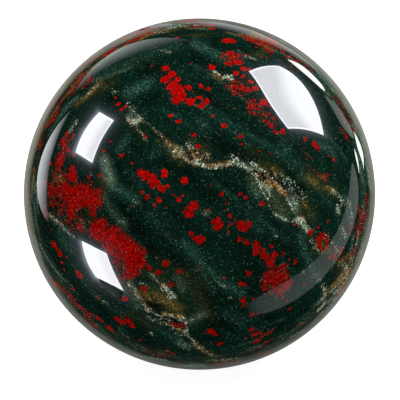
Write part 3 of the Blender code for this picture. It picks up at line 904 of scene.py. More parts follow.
        hollow = (graph.soft(Field.PITS) * (mottle * 2.4 + 1.0) - grain.third).rise(0.0, 0.1)
        return graph.mix(hollow * self.pit_cover, base, self.pit)

    def drawn(self, grain: Grain) -> Value:
        """Where the pale threads are. A thread of a small half width is also fainter."""
        graph = grain.graph
        threads = []
        for rank in range(RANKS):
            gap, width = self.nearest_mark(graph, grain.ragged, Line.PALE, rank)
            threads.append((1 - (gap / width).rise(*self.thread_edge)) * (width * 9.0 - 0.2).clamped())
        return threads[0].highest(threads[1])

    def reddened(self, grain: Grain, base: Value) -> Value:
        """Adds the red clouds and spots, with painted shade that darkens the reds towards the lower right of
        the seen side.
        """
        graph = grain.graph
        jitter = grain.first.centred()
        cloud = graph.soft(Field.CLOUD)
        lumps = graph.noise(grain.point, self.lump_size, 2.0).centred()
        specks = graph.noise(grain.point, self.speck_size, 2.0).centred()
        edge = cloud.centred() - lumps * 1.4 - specks * 1.9 - jitter * 0.4
        clouded = edge.rise(*self.cloud_edge) * cloud.rise(0.0, 0.1)
        lobes = graph.noise(grain.point, self.lobe_size, 2.0) * 1.9 - 0.04
        depths = []
        for rank in range(RANKS):
            gap, width = self.nearest_mark(graph, grain.ragged, Line.RED, rank)
            depths.append(width * lobes - gap)
        spotted = (depths[0].highest(depths[1]) + jitter * 0.12).rise(*self.spot_edge)
        tone = graph.noise(grain.point, self.tone_size, 3.0) + jitter * 0.2 + spotted * 0.05 - 0.02
        red = graph.mix(tone.rise(*self.red_step), self.dark_red, self.red)
        red = graph.mix(tone.rise(*self.bright_red_step), red, self.bright_red)
        red = graph.mix(grain.second.rise(0.985, 0.995) * 0.5, red, self.orange)
        # Painted shade: the reds darken towards the lower right of the seen side, along the bands.
        red = graph.scaled(red, 1 - grain.along.rise(*self.painted_shade_step) * self.painted_shade)
        base = graph.mix(clouded.highest(spotted), base, red)
        likely = cloud.rise(0.1, 0.6) * (1 - clouded * 0.6) * 0.24
        sparks, size, hue = self.dots(graph, grain.point, likely, 0.3, 0.6)
        tint = graph.mix(hue.rise(0.6, 1.0), self.orange, self.cream)
        return graph.mix(sparks * (size * 0.45 + 0.1), base, tint)

    def nearest_mark(self, graph: Graph, point: Value, line: Line, rank: int) -> tuple[Value, Value]:
        """Measures the distance to a mark that the face holds.

        The distance to a stretch from start along span is that to start + t * span, where t is the
        share of the way at which the point stands, held between 0 and 1.

        Args:
            graph: The material's nodes.
            point: The place in millimetres.
            line: Which kind of mark.
            rank: 0 for the nearest mark and 1 for the next.

        Returns:
            The distance and the mark's half width, in millimetres.
        """
        start = graph.attribute(f"{line.value}_start_{rank}", "Vector")
        span = graph.attribute(f"{line.value}_span_{rank}", "Vector")
        offset = graph.vector("SUBTRACT", point, start)
        along = graph.vector("DOT_PRODUCT", offset, span, output="Value")
        square = graph.vector("DOT_PRODUCT", span, span, output="Value")
        share = (along / (square + TINY)).clamped()
        away = graph.vector("SUBTRACT", offset, graph.scaled(span, share))
        gap = graph.vector("LENGTH", away, output="Value")
        return gap, graph.attribute(f"{line.value}_width_{rank}")

    def material(self, turn: tuple[float, float, float]) -> bpy.types.Material:
        """Builds the finish.

        Args:
            turn: Angles that turn the ball's frame so that its first axis lies along the bands.

        Returns:
            The material.
        """
        graph = Graph("polished_bloodstone")
        grain = self.grain(graph, turn)
        base = self.ground(grain)
        base = self.stained(grain, base)
        base = self.reddened(grain, base)
        inputs = {
            "Base Color": base,
            "Roughness": 0.5,
            "IOR": self.index,
            "Specular IOR Level": 0.0,
            "Coat Weight": 1.0,
            "Coat Roughness": self.polish,
            "Coat IOR": self.index,
        }
        return graph.surface(graph.node("ShaderNodeBsdfPrincipled", {}, inputs))


@dataclass
class StoneMarks:
    """The stone's marks as stretches inside the ball's skin, in millimetres from the ball's centre."""

    picture: Picture
    seed: int = 7
    step: float = 1.6
    least_facing: float = 0.22
    sharp_facing: float = 0.6
    strand_fullness: float = 0.85
    strand_share: float = 0.48
    soft_strand_share: float = 0.45
    cloud_fade: float = 1.9
    ring_spot: float = 1.5
    sprinkle_share: float = 0.6
    sprinkle_sizes: Range = (0.45, 1.2)
    shred_lengths: Range = (2.0, 8.0)
    shred_drift: float = 0.006
    shred_stops: tuple[float, ...] = (-0.5, -0.17, 0.17, 0.5)
    shred_widths: Range = (0.35, 0.9)
    shred_strengths: Range = (0.5, 1.2)
    hidden_turn: float = math.radians(163.0)
    hidden_slope: float = 0.8
    hidden_margin: float = 0.02
    hidden_shift: float = 0.7
    hidden_sizes: Range = (0.8, 1.25)
    starts: dict[Line, list[np.ndarray]] = field(default_factory=dict)
    spans: dict[Line, list[np.ndarray]] = field(default_factory=dict)
    widths: dict[Line, list[np.ndarray]] = field(default_factory=dict)
    strokes: dict[Field, list[tuple[np.ndarray, float, float]]] = field(default_factory=dict)

    def __post_init__(self) -> None:
        """Starts the lists and the seeded chance."""
        self.chance = np.random.default_rng(self.seed)
        for line in Line:
            self.starts[line], self.spans[line], self.widths[line] = [], [], []
        for soft in Field:
            self.strokes[soft] = []

    def route(self, places: Sequence) -> np.ndarray:
        """Points on the ball under a chain of picture points, no more than a step apart.

        Between two of the points the route follows the ball: the straight line between them, pushed
        out to the radius.
        """
        normals, _ = self.picture.sight(places)
        size = self.picture.radius / MM
        pieces = [normals[:1]]
        for near, far in zip(normals[:-1], normals[1:]):
            count = max(1, math.ceil(np.linalg.norm(far - near) * size / self.step))
            share = np.arange(1, count + 1)[:, None] / count
            pieces.append(unit(near + (far - near) * share))
        return np.concatenate(pieces) * size

    def add_line(self, line: Line, places: Sequence, width: float) -> None:
        """Adds a sharp mark through picture points, with a half width in pixels."""
        route = self.route(places)
        ends = route[1:] if len(route) > 1 else route
        starts = route[:-1] if len(route) > 1 else route
        self.starts[line].append(starts)
        self.spans[line].append(ends - starts)
        self.widths[line].append(np.full(len(starts), width * self.picture.pixel_size()))

    def add_stroke(self, soft: Field, places: Sequence, width: float, strength: float) -> None:
        """Adds a soft stroke through picture points, with a width in pixels."""
        self.strokes[soft].append((self.route(places), width * self.picture.pixel_size(), strength))

    def add_seen_side(self) -> None:
        """Adds the marks that the photograph shows."""
        self.add_red_spots()
        self.add_red_strands()
        for width, *chain in PALE_THREADS:
            self.add_line(Line.PALE, chain, width)
        for column, row, size, fullness in RED_CLOUDS:
            self.add_stroke(Field.CLOUD, (column, row), size, fullness)
        self.add_rim_shreds()
        groups = (
            (Field.OCHRE, OCHRE_STROKES), (Field.GRANULES, GRANULE_STROKES), (Field.PITS, PIT_STROKES),
            (Field.PALE, PALE_STROKES), (Field.TEAL, TEAL_STROKES), (Field.OLIVE, OLIVE_STROKES),
            (Field.DEEP, DEEP_STROKES),
        )
        for soft, strokes in groups:
            for width, strength, *chain in strokes:
                self.add_stroke(soft, chain, width, strength)

    def add_red_spots(self) -> None:
        """Adds the single red spots, the rings of them and the scattered small ones."""
        for group in RED_SPOTS:
            for column, row, size in group:
                self.add_line(Line.RED, (column, row), size)
        for column, row, size, count in RED_RINGS:
            for turn in np.arange(count) / count * math.tau:
                place = (column + size * math.cos(turn), row + size * math.sin(turn))
                self.add_line(Line.RED, place, self.ring_spot)
        for column, row, size, count in RED_SPRINKLES:
            for _ in range(count):
                across, down = self.chance.normal(0.0, size * self.sprinkle_share, 2)
                width = self.chance.uniform(*self.sprinkle_sizes)
                self.add_line(Line.RED, (column + across, row + down), width)

    def add_red_strands(self) -> None:
        """Adds the red strands, sharp where the ball faces the camera and soft along the limb."""
        for size, *chain in RED_STRANDS:
            slant = max(self.picture.facing(chain), self.least_facing)
            if slant > self.sharp_facing:
                self.add_line(Line.RED, chain, size * self.strand_share)
            else:
                width = size * self.soft_strand_share / slant
                self.add_stroke(Field.CLOUD, chain, width, self.strand_fullness)

    def add_rim_shreds(self) -> None:
        """Scatters short soft strokes along the rim, where the photograph shows the pattern drawn out."""
        for first, last, least, greatest, count, kinds in RIM_SHREDS:
            names = kinds.upper().split()
            for number in range(count):
                turn = self.chance.uniform(first, last)
                reach = self.chance.uniform(least, greatest)
                length = self.chance.uniform(*self.shred_lengths)
                drift = self.chance.normal(0.0, self.shred_drift)
                ends = [(turn + length * share, reach + drift * share) for share in self.shred_stops]
                places = self.picture.rim_places(ends)
                slant = max(self.picture.facing(places), self.least_facing)
                width = self.chance.uniform(*self.shred_widths) / slant
                strength = self.chance.uniform(*self.shred_strengths)
                self.add_stroke(Field[names[number % len(names)]], places, width, strength)

    def is_hidden(self, points: np.ndarray) -> bool:
        """Whether points all lie on the far side of the ball, or hardly past its edge."""
        back = self.picture.axes()[2]
        return float((points @ back).max()) < self.hidden_margin * self.picture.radius / MM

    def add_hidden_side(self) -> None:
        """Invents the marks of the side that the photograph doesn't show.

        The seen marks are turned nearly half round the axis along which the bands run, and the sharp
        ones are shifted a little by chance. Those that would land on the seen side are left out.
        """
        right, up, back = self.picture.axes()
        axis = unit(right - self.hidden_slope * up)
        turn = np.array(Matrix.Rotation(self.hidden_turn, 3, axis.tolist()))
        for line in Line:
            seen = list(zip(self.starts[line], self.spans[line], self.widths[line]))
            for starts, spans, widths in seen:
                shift = self.chance.normal(0.0, self.hidden_shift, 3)
                moved = unit(starts @ turn.T + shift) * self.picture.radius / MM
                if self.is_hidden(moved):
                    self.starts[line].append(moved)
                    self.spans[line].append(spans @ turn.T)
                    self.widths[line].append(widths * self.chance.uniform(*self.hidden_sizes))
        for soft in Field:
            for route, width, strength in list(self.strokes[soft]):
                moved = route @ turn.T
                if self.is_hidden(moved - width * back):
                    self.strokes[soft].append((moved, width, strength))

    def field_at(self, soft: Field, points: np.ndarray) -> np.ndarray:
        """A soft value at points.

        Each stroke gives strength * exp(-(distance / width) squared), apart from a cloud, which falls
        from full to nothing by a smooth step about its radius. Overlapping strokes give the largest.
        """
        total = np.zeros(len(points))
        for route, width, strength in self.strokes[soft]:
            gap = np.full(len(points), np.inf)
            ends = route[1:] if len(route) > 1 else route
            for start, span in zip(route, ends - route[: len(ends)]):
                gap = np.minimum(gap, distance_to(points, start, span))
            if soft is Field.CLOUD:
                share = np.clip((width - gap) / self.cloud_fade + 0.5, 0.0, 1.0)
                value = strength * share * share * (3 - 2 * share)
            else:
                value = strength * np.exp(-((gap / width) ** 2))
            total = np.maximum(total, value)
        return total

    def nearest_lines(
        self, line: Line, points: np.ndarray
    ) -> list[tuple[np.ndarray, np.ndarray, np.ndarray]]:
        """The start, span and half width of the two sharp marks whose edges are nearest to each point."""
        starts = np.concatenate(self.starts[line])
        spans = np.concatenate(self.spans[line])
        widths = np.concatenate(self.widths[line])
        best = np.full((RANKS, len(points)), np.inf)
        choice = np.zeros((RANKS, len(points)), int)
        for number, (start, span, width) in enumerate(zip(starts, spans, widths)):
            gap = distance_to(points, start, span) - width
            first = gap < best[0]
            second = ~first & (gap < best[1])
            best[1, first], choice[1, first] = best[0, first], choice[0, first]
            best[0, first], choice[0, first] = gap[first], number
            best[1, second], choice[1, second] = gap[second], number
        return [(starts[rank], spans[rank], widths[rank]) for rank in choice]


def distance_to(points: np.ndarray, start: np.ndarray, span: np.ndarray) -> np.ndarray:
    """Distance from points to a stretch: to start + t * span, with t held between 0 and 1."""
    offset = points - start
    share = np.clip(offset @ span / (span @ span + TINY), 0.0, 1.0)
    return np.linalg.norm(offset - share[:, None] * span, axis=1)


@dataclass
class StoneBall:
    """The polished ball with its flat foot, as one closed surface."""

    centre: np.ndarray
    radius: float
    foot_height: float
    around: int = 400
    down: int = 208
    band_slope: float = 0.85

    def surface(self) -> tuple[np.ndarray, np.ndarray]:
        """Works out the surface.

        The two parameters are the turn about the upright axis and the way down from the top. A point is
        (R sin a cos t, R sin a sin t, R cos a), where a goes from 0 to the angle at which the ball
        meets the height of its foot. The last ring closes to the foot's middle.

        Returns:
            The vertices, from the top to the foot's middle, and the faces as rows of four, where a
            triangle repeats its last corner.
        """
        last = math.acos((self.foot_height - self.centre[2]) / self.radius)
        lean = last * np.arange(1, self.down + 1)[:, None] / self.down
        turn = math.tau * np.arange(self.around)[None, :] / self.around
        across = self.radius * np.sin(lean)
        height = np.broadcast_to(self.radius * np.cos(lean), (self.down, self.around))
        rings = np.stack([across * np.cos(turn), across * np.sin(turn), height], -1).reshape(-1, 3)
        top = np.array([[0.0, 0.0, self.radius]])
        foot = np.array([[0.0, 0.0, self.foot_height - self.centre[2]]])
        vertices = np.concatenate([top, rings, foot]) + self.centre
        index = 1 + np.arange(self.down * self.around).reshape(self.down, self.around)
        after = np.roll(index, -1, axis=1)
        sides = np.stack([index[:-1], index[1:], after[1:], after[:-1]], -1).reshape(-1, 4)
        cap = np.stack([np.zeros(self.around, int), index[0], after[0], after[0]], -1)
        end = np.full(self.around, len(vertices) - 1)
        base = np.stack([end, after[-1], index[-1], index[-1]], -1)
        return vertices, np.concatenate([cap, sides, base])

    def build(self, marks: StoneMarks) -> bpy.types.Object:
        """Makes the piece, with its marks as values of its vertices and faces.

        Args:
            marks: The stone's marks.

        Returns:
            The piece, without its finish.
        """
        vertices, faces = self.surface()
        mesh = bpy.data.meshes.new("bloodstone_ball")
        triangle = faces[:, 2] == faces[:, 3]
        rows = [row[:3] if short else row for row, short in zip(faces.tolist(), triangle.tolist())]
        mesh.from_pydata(vertices.tolist(), [], rows)
        mesh.shade_smooth()
        outward = (vertices - self.centre) / MM
        for soft in Field:
            store(mesh, soft.value, marks.field_at(soft, outward), "POINT")
        middles = outward[faces].mean(axis=1)
        for line in Line:
            for rank, (starts, spans, widths) in enumerate(marks.nearest_lines(line, middles)):
                store(mesh, f"{line.value}_start_{rank}", starts + self.centre / MM, "FACE")
                store(mesh, f"{line.value}_span_{rank}", spans, "FACE")
                store(mesh, f"{line.value}_width_{rank}", widths, "FACE")
        return add_object("bloodstone_ball", mesh)

    def dress(self, piece: bpy.types.Object, picture: Picture) -> None:
        """Gives the piece its finish, with the bands running down to the right in the picture."""
        right, up, back = picture.axes()
        along = unit(right - self.band_slope * up)
        frame_axes = np.stack([along, np.cross(back, along), back])
        turn = Matrix([list(row) for row in frame_axes]).to_euler()
        piece.data.materials.append(BloodstoneFinish().material(tuple(turn)))


@dataclass(frozen=True)
class Panel:
    """A lit studio panel that shows only in the stone's polish.

    The panel's two long edges are given where the photograph shows them reflected. Each point of it
    lies out along the mirrored line of sight.
    """

    name: str
    outer: tuple[Point, ...] = ()
    inner: tuple[Point, ...] = ()
    outer_light: float = 1.0
    inner_light: float = 0.0
    reach: float = 0.34
    tint: tuple[float, float, float] = (1.0, 1.0, 1.0)
    bow: float = 0.0
    fade_in: float = 0.0
    fade_out: float = 0.0
    power: float = 1.0
    far_share: float = 1.0
    far_power: float = 1.6
    degree: int = 5
    along: int = 49
    across: int = 13

    def edge(self, places: Sequence[Point], share: np.ndarray) -> np.ndarray:
        """A smooth curve through hand-read points: a low polynomial in the share of the way along."""
        points = np.asarray(places, float)
        steps = np.linalg.norm(np.diff(points, axis=0), axis=1)
        knots = np.concatenate([[0.0], np.cumsum(steps)]) / max(steps.sum(), TINY)
        # A smooth curve through given points: a low polynomial in the share of the way along.
        degree = min(len(points) - 1, self.degree)
        curves = [np.polynomial.Polynomial.fit(knots, points[:, axis], degree)(share) for axis in range(2)]
        return np.stack(curves, -1)

    def edges(self, picture: Picture, share: np.ndarray) -> tuple[np.ndarray, np.ndarray]:
        """The outer and the inner edge in the picture, at shares of the way along."""
        return self.edge(self.outer, share), self.edge(self.inner, share)

    def seen_light(self, places: np.ndarray, share: np.ndarray, cross: np.ndarray) -> np.ndarray:
        """The brightness to be seen in the polish, at shares of the way along and across.

        It goes from the outer edge's to the inner edge's as (1 - cross) to a power, and it rises from
        the first end and falls to the last one over the shares fade_in and fade_out. Along the edges
        it also goes to far_share of itself.
        """
        level = self.inner_light + (self.outer_light - self.inner_light) * (1 - cross) ** self.power
        level = level * (self.far_share + (1 - self.far_share) * (1 - share) ** self.far_power)
        start = np.clip(share / self.fade_in, 0.0, 1.0) if self.fade_in else 1.0
        end = np.clip((1 - share) / self.fade_out, 0.0, 1.0) if self.fade_out else 1.0
        return level * start * end

    def emitter(self, graph: Graph, colour: Value) -> Value:
        """The shader of the panel's light."""
        return graph.node("ShaderNodeEmission", {}, {"Color": colour})

    def build(self, picture: Picture) -> bpy.types.Object:
        """Makes the panel's mesh and its light.

        The surface's parameters are the way along the edges and the way across from the outer edge to
        the inner one. The light that a point needs is the wanted brightness over the share that the
        polish reflects there.
        """
        share = np.linspace(0.0, 1.0, self.along)
        cross = np.linspace(0.0, 1.0, self.across)
        outer, inner = self.edges(picture, share)
        places = outer[:, None] * (1 - cross)[None, :, None] + inner[:, None] * cross[None, :, None]
        chord = inner - outer
        length = np.linalg.norm(chord, axis=1, keepdims=True) + TINY
        bulge = np.stack([chord[:, 1], -chord[:, 0]], -1) / length
        places = places + self.bow * bulge[:, None] * (4 * cross * (1 - cross))[None, :, None]
        normals, lines = picture.sight(places.reshape(-1, 2))
        facing = -(lines * normals).sum(1, keepdims=True)
        mirrored = lines + 2 * facing * normals
        vertices = picture.centre + normals * picture.radius + mirrored * self.reach
        wanted = self.seen_light(places, share[:, None], cross[None, :]).reshape(-1)
        light = wanted / reflectance(facing[:, 0], BloodstoneFinish.index)
        index = np.arange(self.along * self.across).reshape(self.along, self.across)
        faces = np.stack([index[:-1, :-1], index[1:, :-1], index[1:, 1:], index[:-1, 1:]], -1).reshape(-1, 4)
        mesh = bpy.data.meshes.new(self.name)
        mesh.from_pydata(vertices.tolist(), [], faces.tolist())
        store(mesh, "glow", light, "POINT")
        graph = Graph(self.name)
        tint = graph.node("ShaderNodeCombineXYZ", {}, list(self.tint))
        colour = graph.scaled(tint, graph.attribute("glow"))
        mesh.materials.append(graph.surface(self.emitter(graph, colour)))
        panel = add_object(self.name, mesh)
        panel.visible_camera = False
        panel.visible_diffuse = False
        panel.visible_shadow = False
        return panel


@dataclass(frozen=True)
class Softbox(Panel):
    """A bright box, greyer past a soft diagonal, with a thin brighter rim."""

    middle: tuple[float, float, float] = (0.6, 0.0, 0.0)
    softness: float = 0.22
    rim: float = 0.035
    rim_light: float = 1.1
    along: int = 65
    across: int = 49

    def seen_light(self, places: np.ndarray, share: np.ndarray, cross: np.ndarray) -> np.ndarray:
        """The outer light before the diagonal and the inner one after it, by a smooth step.

        The diagonal stands at the share across that is the first of middle, plus the second times the
        share along, plus the third times the bulge 4 * share * (1 - share).
        """
        base, slope, bulge = self.middle
        place = base + slope * share + bulge * 4 * share * (1 - share)
        step = np.clip((cross - place) / self.softness / 2 + 0.5, 0.0, 1.0)
        level = self.outer_light + (self.inner_light - self.outer_light) * step * step * (3 - 2 * step)
        near = np.minimum(np.minimum(cross, 1 - cross), np.minimum(share, 1 - share) * 1.2)
        return np.where(near < self.rim, self.rim_light, level)


@dataclass(frozen=True)
class RimVeil(Panel):
    """The pale backdrop, which the polish shows in a ring that fades inward from the ball's rim."""

    reach: float = 0.5
    rim_reach: float = 0.9985
    tail_reach: float = 0.9
    tail_width: float = 0.05
    tint: tuple[float, float, float] = (1.0, 0.97, 0.87)
    along: int = 145
    across: int = 49

    def edges(self, picture: Picture, share: np.ndarray) -> tuple[np.ndarray, np.ndarray]:
        """Two closed curves: the rim, and a ring inside it."""
        outer = picture.rim_places([(360 * part, self.rim_reach) for part in share])
        inner = picture.rim_places([(360 * part, self.tail_reach) for part in share])
        return np.array(outer), np.array(inner)

    def seen_light(self, places: np.ndarray, share: np.ndarray, cross: np.ndarray) -> np.ndarray:
        """The veil and its faint tail.

        The veil is the rim's light times the share of the way from where it ends to the rim, to a
        power. The tail rises from the inner ring over its width.
        """
        reach = self.rim_reach + (self.tail_reach - self.rim_reach) * cross
        light, end, power, tail = (self.at(share, column) for column in range(1, 5))
        veil = light * np.clip((reach - end) / (self.rim_reach - end), 0.0, 1.0) ** power
        return veil + tail * np.clip((reach - self.tail_reach) / self.tail_width, 0.0, 1.0)

    def at(self, share: np.ndarray, column: int) -> np.ndarray:
        """A column of the veil's table at shares of the way round."""
        table = np.array(RIM_VEIL)
        return np.interp(360 * share, table[:, 0], table[:, column], period=360)


@dataclass(frozen=True)
class Halo(Panel):
    """A soft glow in the polish round the reflection of a panel, of which the edges are given."""

    along: int = 73
    across: int = 73
    shift: Point = (0.0, 0.0)
    near: float = 1.6
    spread: float = 6.0
    margin: float = 4.0
    reach: float = 0.38
    tint: tuple[float, float, float] = (0.78, 0.84, 1.0)

    def outline(self) -> np.ndarray:
        """The panel's corners as a closed chain, shifted to the side on which the glow is wider."""
        chain = np.array([*self.outer, *reversed(self.inner), self.outer[0]], float)
        return chain + np.array(self.shift)

    def edges(self, picture: Picture, share: np.ndarray) -> tuple[np.ndarray, np.ndarray]:
        """The left and right sides of an upright frame round the outline."""
        chain = self.outline()
        low = chain.min(axis=0) - self.margin * self.spread
        high = chain.max(axis=0) + self.margin * self.spread
        rows = low[1] + (high[1] - low[1]) * share
        left, right = np.full_like(rows, low[0]), np.full_like(rows, high[0])
        return np.stack([left, rows], -1), np.stack([right, rows], -1)

    def seen_light(self, places: np.ndarray, share: np.ndarray, cross: np.ndarray) -> np.ndarray:
        """Two falling glows, outer_light * exp(-gap / near) and inner_light * exp(-gap / spread)."""
        chain = self.outline()
        points = places.reshape(-1, 2)
        gap = np.full(len(points), np.inf)
        crossings = np.zeros(len(points), int)
        for start, end in zip(chain[:-1], chain[1:]):
            gap = np.minimum(gap, distance_to(points, start, end - start))
            above = (start[1] > points[:, 1]) != (end[1] > points[:, 1])
            rise = end[1] - start[1] + TINY
            meets = start[0] + (points[:, 1] - start[1]) / rise * (end[0] - start[0])
            crossings += above & (points[:, 0] < meets)
        gap = np.where(crossings % 2 == 1, 0.0, gap)
        near = self.outer_light * np.exp(-gap / self.near)
        far = self.inner_light * np.clip(np.exp(-gap / self.spread) - math.exp(-self.margin), 0.0, None)
        return (near + far).reshape(places.shape[:2])

    def emitter(self, graph: Graph, colour: Value) -> Value:
        """The shader lets what is behind the glow through and adds to it."""
        clear = graph.node("ShaderNodeBsdfTransparent", {}, {})
        return graph.node("ShaderNodeAddShader", {}, [super().emitter(graph, colour), clear])


def reflectance(facing: np.ndarray, index: float) -> np.ndarray:
    """Share of light that a polished surface reflects, by Fresnel's formula for unpolarised light."""
    cosine = np.clip(facing, 0.0, 1.0)
    inner = np.sqrt(index**2 - 1 + cosine**2)
    across = ((cosine - inner) / (cosine + inner)) ** 2
    along = ((index**2 * cosine - inner) / (index**2 * cosine + inner)) ** 2
    return (across + along) / 2


@dataclass
class Studio:
    """A pale floor, soft light all round and the panels that the stone's polish shows."""

    picture: Picture
    floor_reach: float = 6.0
    floor_grey: float = 0.2
    floor_glow: float = 0.94
    sky_light: float = 1.0
    lamp_place: tuple[float, float, float] = (0.5, 0.8, 0.45)
    lamp_distance: float = 0.7
    lamp_power: float = 6.0
    lamp_size: float = 0.5
    cool: tuple[float, float, float] = (0.97, 0.97, 1.03)
    teal: tuple[float, float, float] = (0.9, 1.0, 0.97)

    def add_floor(self) -> bpy.types.Object:
        """Adds the floor, which is pale enough to keep only a faint shadow under the stone."""
        reach = self.floor_reach
        corners = [(-reach, -reach, 0), (reach, -reach, 0), (reach, reach, 0), (-reach, reach, 0)]
        mesh = bpy.data.meshes.new("floor")
        mesh.from_pydata(corners, [], [(0, 1, 2, 3)])
        graph = Graph("pale_floor")
        inputs = {
            "Base Color": (self.floor_grey, self.floor_grey, self.floor_grey, 1.0),
            "Roughness": 0.9,
            "Emission Color": (1.0, 1.0, 1.0, 1.0),
            "Emission Strength": self.floor_glow,
        }
        mesh.materials.append(graph.surface(graph.node("ShaderNodeBsdfPrincipled", {}, inputs)))
        floor = add_object("floor", mesh)
        floor.visible_glossy = False
        return floor

    def add_sky(self) -> None:
        """Surrounds the scene with even white light, which the polish doesn't show."""
        world = bpy.data.worlds.new("studio")
        world.use_nodes = True
        background = world.node_tree.nodes["Background"]
        background.inputs["Color"].default_value = (1.0, 1.0, 1.0, 1.0)
        background.inputs["Strength"].default_value = self.sky_light
        world.cycles_visibility.glossy = False
        bpy.context.scene.world = world

    def add_lamp(self) -> bpy.types.Object:
        """Adds a soft lamp that shapes the stone without showing in its polish.

        Its place is given along the camera's right, up and back.
        """
        data = bpy.data.lights.new("key_lamp", "AREA")
        data.energy, data.size = self.lamp_power, self.lamp_size
        lamp = add_object("key_lamp", data)
        away = unit(np.array(self.lamp_place) @ self.picture.axes())
        lamp.location = (self.picture.centre + away * self.lamp_distance).tolist()
        lamp.rotation_mode = "QUATERNION"
        lamp.rotation_quaternion = Vector(away.tolist()).to_track_quat("Z", "Y")
        lamp.visible_glossy = False
        lamp.visible_camera = False
        return lamp

    def boxes(self) -> list[Panel]:
        """The pale backdrop and the bright boxes with their halos."""
        right_outer = ((278.8, 66), (295, 76), (306.4, 88.8), (317, 109), (323.7, 135.4))
        right_inner = ((249, 71.5), (258.5, 84.5), (267.6, 99.7), (278, 115.5), (288, 128.7))
        left_outer = ((99.6, 112), (83.8, 132), (75.6, 152.4))
        left_inner = ((113.9, 120.4), (101.3, 140), (92.4, 162.8))
        lower_outer = ((81.8, 240.9), (86.3, 259.5), (96, 277))
        lower_inner = ((106.7, 253.6), (112.5, 269), (123.7, 290.6))
        corner = (0.62, 0.0, 0.0)
        return [
            RimVeil("rim_veil"),
            Softbox(
                "softbox_upper_right", right_outer, right_inner,
                inner_light=0.7, tint=self.cool, bow=-2.3, middle=(0.05, 0.3, 0.35),
            ),
            Softbox(
                "softbox_left", left_outer, left_inner,
                inner_light=0.78, tint=self.cool, middle=corner, rim=0.05,
            ),
            Softbox(
                "softbox_lower_left", lower_outer, lower_inner,
                inner_light=0.88, tint=self.cool, middle=corner, rim=0.04,
            ),
            Halo(
                "halo_upper_right", right_outer, right_inner,
                outer_light=0.05, inner_light=0.03, shift=(1.5, 0.5),
            ),
            Halo(
                "halo_left", left_outer, left_inner,
                outer_light=0.2, inner_light=0.045, shift=(-1.5, -0.5),
            ),
            Halo(
                "halo_lower_left", lower_outer, lower_inner,
                outer_light=0.17, inner_light=0.06, shift=(-1.8, 0.5),
            ),
        ]

    def slivers(self) -> list[Panel]:
        """The thin bright panels at the right rim."""
        rim = self.picture.rim_places
        upper_outer = (
            (288.4, 59.6), (292.7, 61), (298, 63.3), (302.9, 66.4), (307.4, 70), (311.7, 73.8), (315.7, 77.9),
            (319.6, 82.1), (323, 86.7), (324.8, 90.2),
        )
        upper_inner = (
            (288.4, 60.2), (291.5, 62.8), (295.9, 66.2), (300.2, 69.8), (304.4, 73.5), (308.5, 77.2),
            (312.8, 80.8), (317, 84.4), (321.2, 88.6), (324.8, 91),
        )
        right_outer = rim((
            (22, 0.946), (21, 0.950), (19.5, 0.954), (18, 0.957), (16.5, 0.958), (15, 0.960), (13.5, 0.958),
            (12, 0.955), (10.5, 0.951), (8.5, 0.945),
        ))
        right_inner = rim((
            (22, 0.945), (21, 0.945), (19.5, 0.943), (18, 0.939), (16.5, 0.939), (15, 0.938), (13.5, 0.941),
            (12, 0.943), (10.5, 0.945), (8.5, 0.944),
        ))
        thin_outer = rim((
            (16.3, 0.918), (15, 0.921), (13.5, 0.923), (12, 0.922), (10.5, 0.921), (9, 0.919), (7.5, 0.916),
        ))
        thin_inner = rim((
            (16.3, 0.917), (15, 0.915), (13.5, 0.913), (12, 0.913), (10.5, 0.914), (9, 0.915), (7.5, 0.915),
        ))
        return [
            Panel(
                "sliver_upper_right", upper_outer, upper_inner,
                outer_light=1.05, inner_light=1.0, reach=0.31,
            ),
            Panel("sliver_right", right_outer, right_inner, outer_light=1.05, inner_light=1.0, reach=0.31),
            Panel("sliver_right_inner", thin_outer, thin_inner, inner_light=0.85, reach=0.32),
        ]

    def arcs(self) -> list[Panel]:
        """The crescent at the left and the arcs along the top."""
        rim = self.picture.rim_places
        left_outer = rim((
            (146, 0.871), (150, 0.884), (154, 0.897), (158, 0.908), (162, 0.917), (166, 0.922), (170, 0.926),
            (174, 0.928), (178, 0.926), (182, 0.918), (186, 0.904), (191, 0.873),
        ))
        left_inner = rim((
            (146, 0.870), (150, 0.870), (158, 0.868), (166, 0.868), (174, 0.868), (182, 0.868), (191, 0.872),
        ))
        upper_outer = rim((
            (142, 0.912), (136, 0.931), (130, 0.941), (122, 0.946), (115, 0.941), (108, 0.927), (100, 0.903),
            (93, 0.876),
        ))
        upper_inner = rim((
            (142, 0.911), (136, 0.905), (130, 0.897), (122, 0.884), (115, 0.873), (108, 0.867), (100, 0.866),
            (93, 0.874),
        ))
        stripe_outer = ((140, 29.5), (152, 26), (165, 24), (173, 24.3), (183, 25.5))
        stripe_inner = ((140, 31), (152, 28.4), (165, 27), (173, 26.6), (183, 25.9))
        top_outer = rim((
            (105, 0.971), (97, 0.979), (90, 0.983), (84, 0.983), (77, 0.980), (70, 0.977), (62, 0.975),
            (50, 0.974), (37, 0.969),
        ))
        top_inner = rim((
            (105, 0.970), (97, 0.967), (90, 0.958), (84, 0.950), (77, 0.943), (70, 0.940), (62, 0.944),
            (50, 0.955), (37, 0.968),
        ))
        return [
            Panel(
                "crescent_left", left_outer, left_inner, outer_light=0.61, inner_light=0.04, reach=0.33,
                tint=(0.96, 0.98, 1.03), fade_in=0.34, fade_out=0.33, power=0.95,
            ),
            Panel(
                "arc_upper_left", upper_outer, upper_inner, outer_light=0.29, inner_light=0.015, reach=0.36,
                tint=self.teal, fade_in=0.3, fade_out=0.5, power=1.3,
            ),
            Panel(
                "stripe_top", stripe_outer, stripe_inner, outer_light=0.34, inner_light=0.12, reach=0.36,
                tint=self.cool, fade_in=0.3, fade_out=0.3,
            ),
            Panel(
                "arc_top", top_outer, top_inner, outer_light=0.36, inner_light=0.02, reach=0.36,
                fade_in=0.3, fade_out=0.25, power=1.3,
            ),
        ]

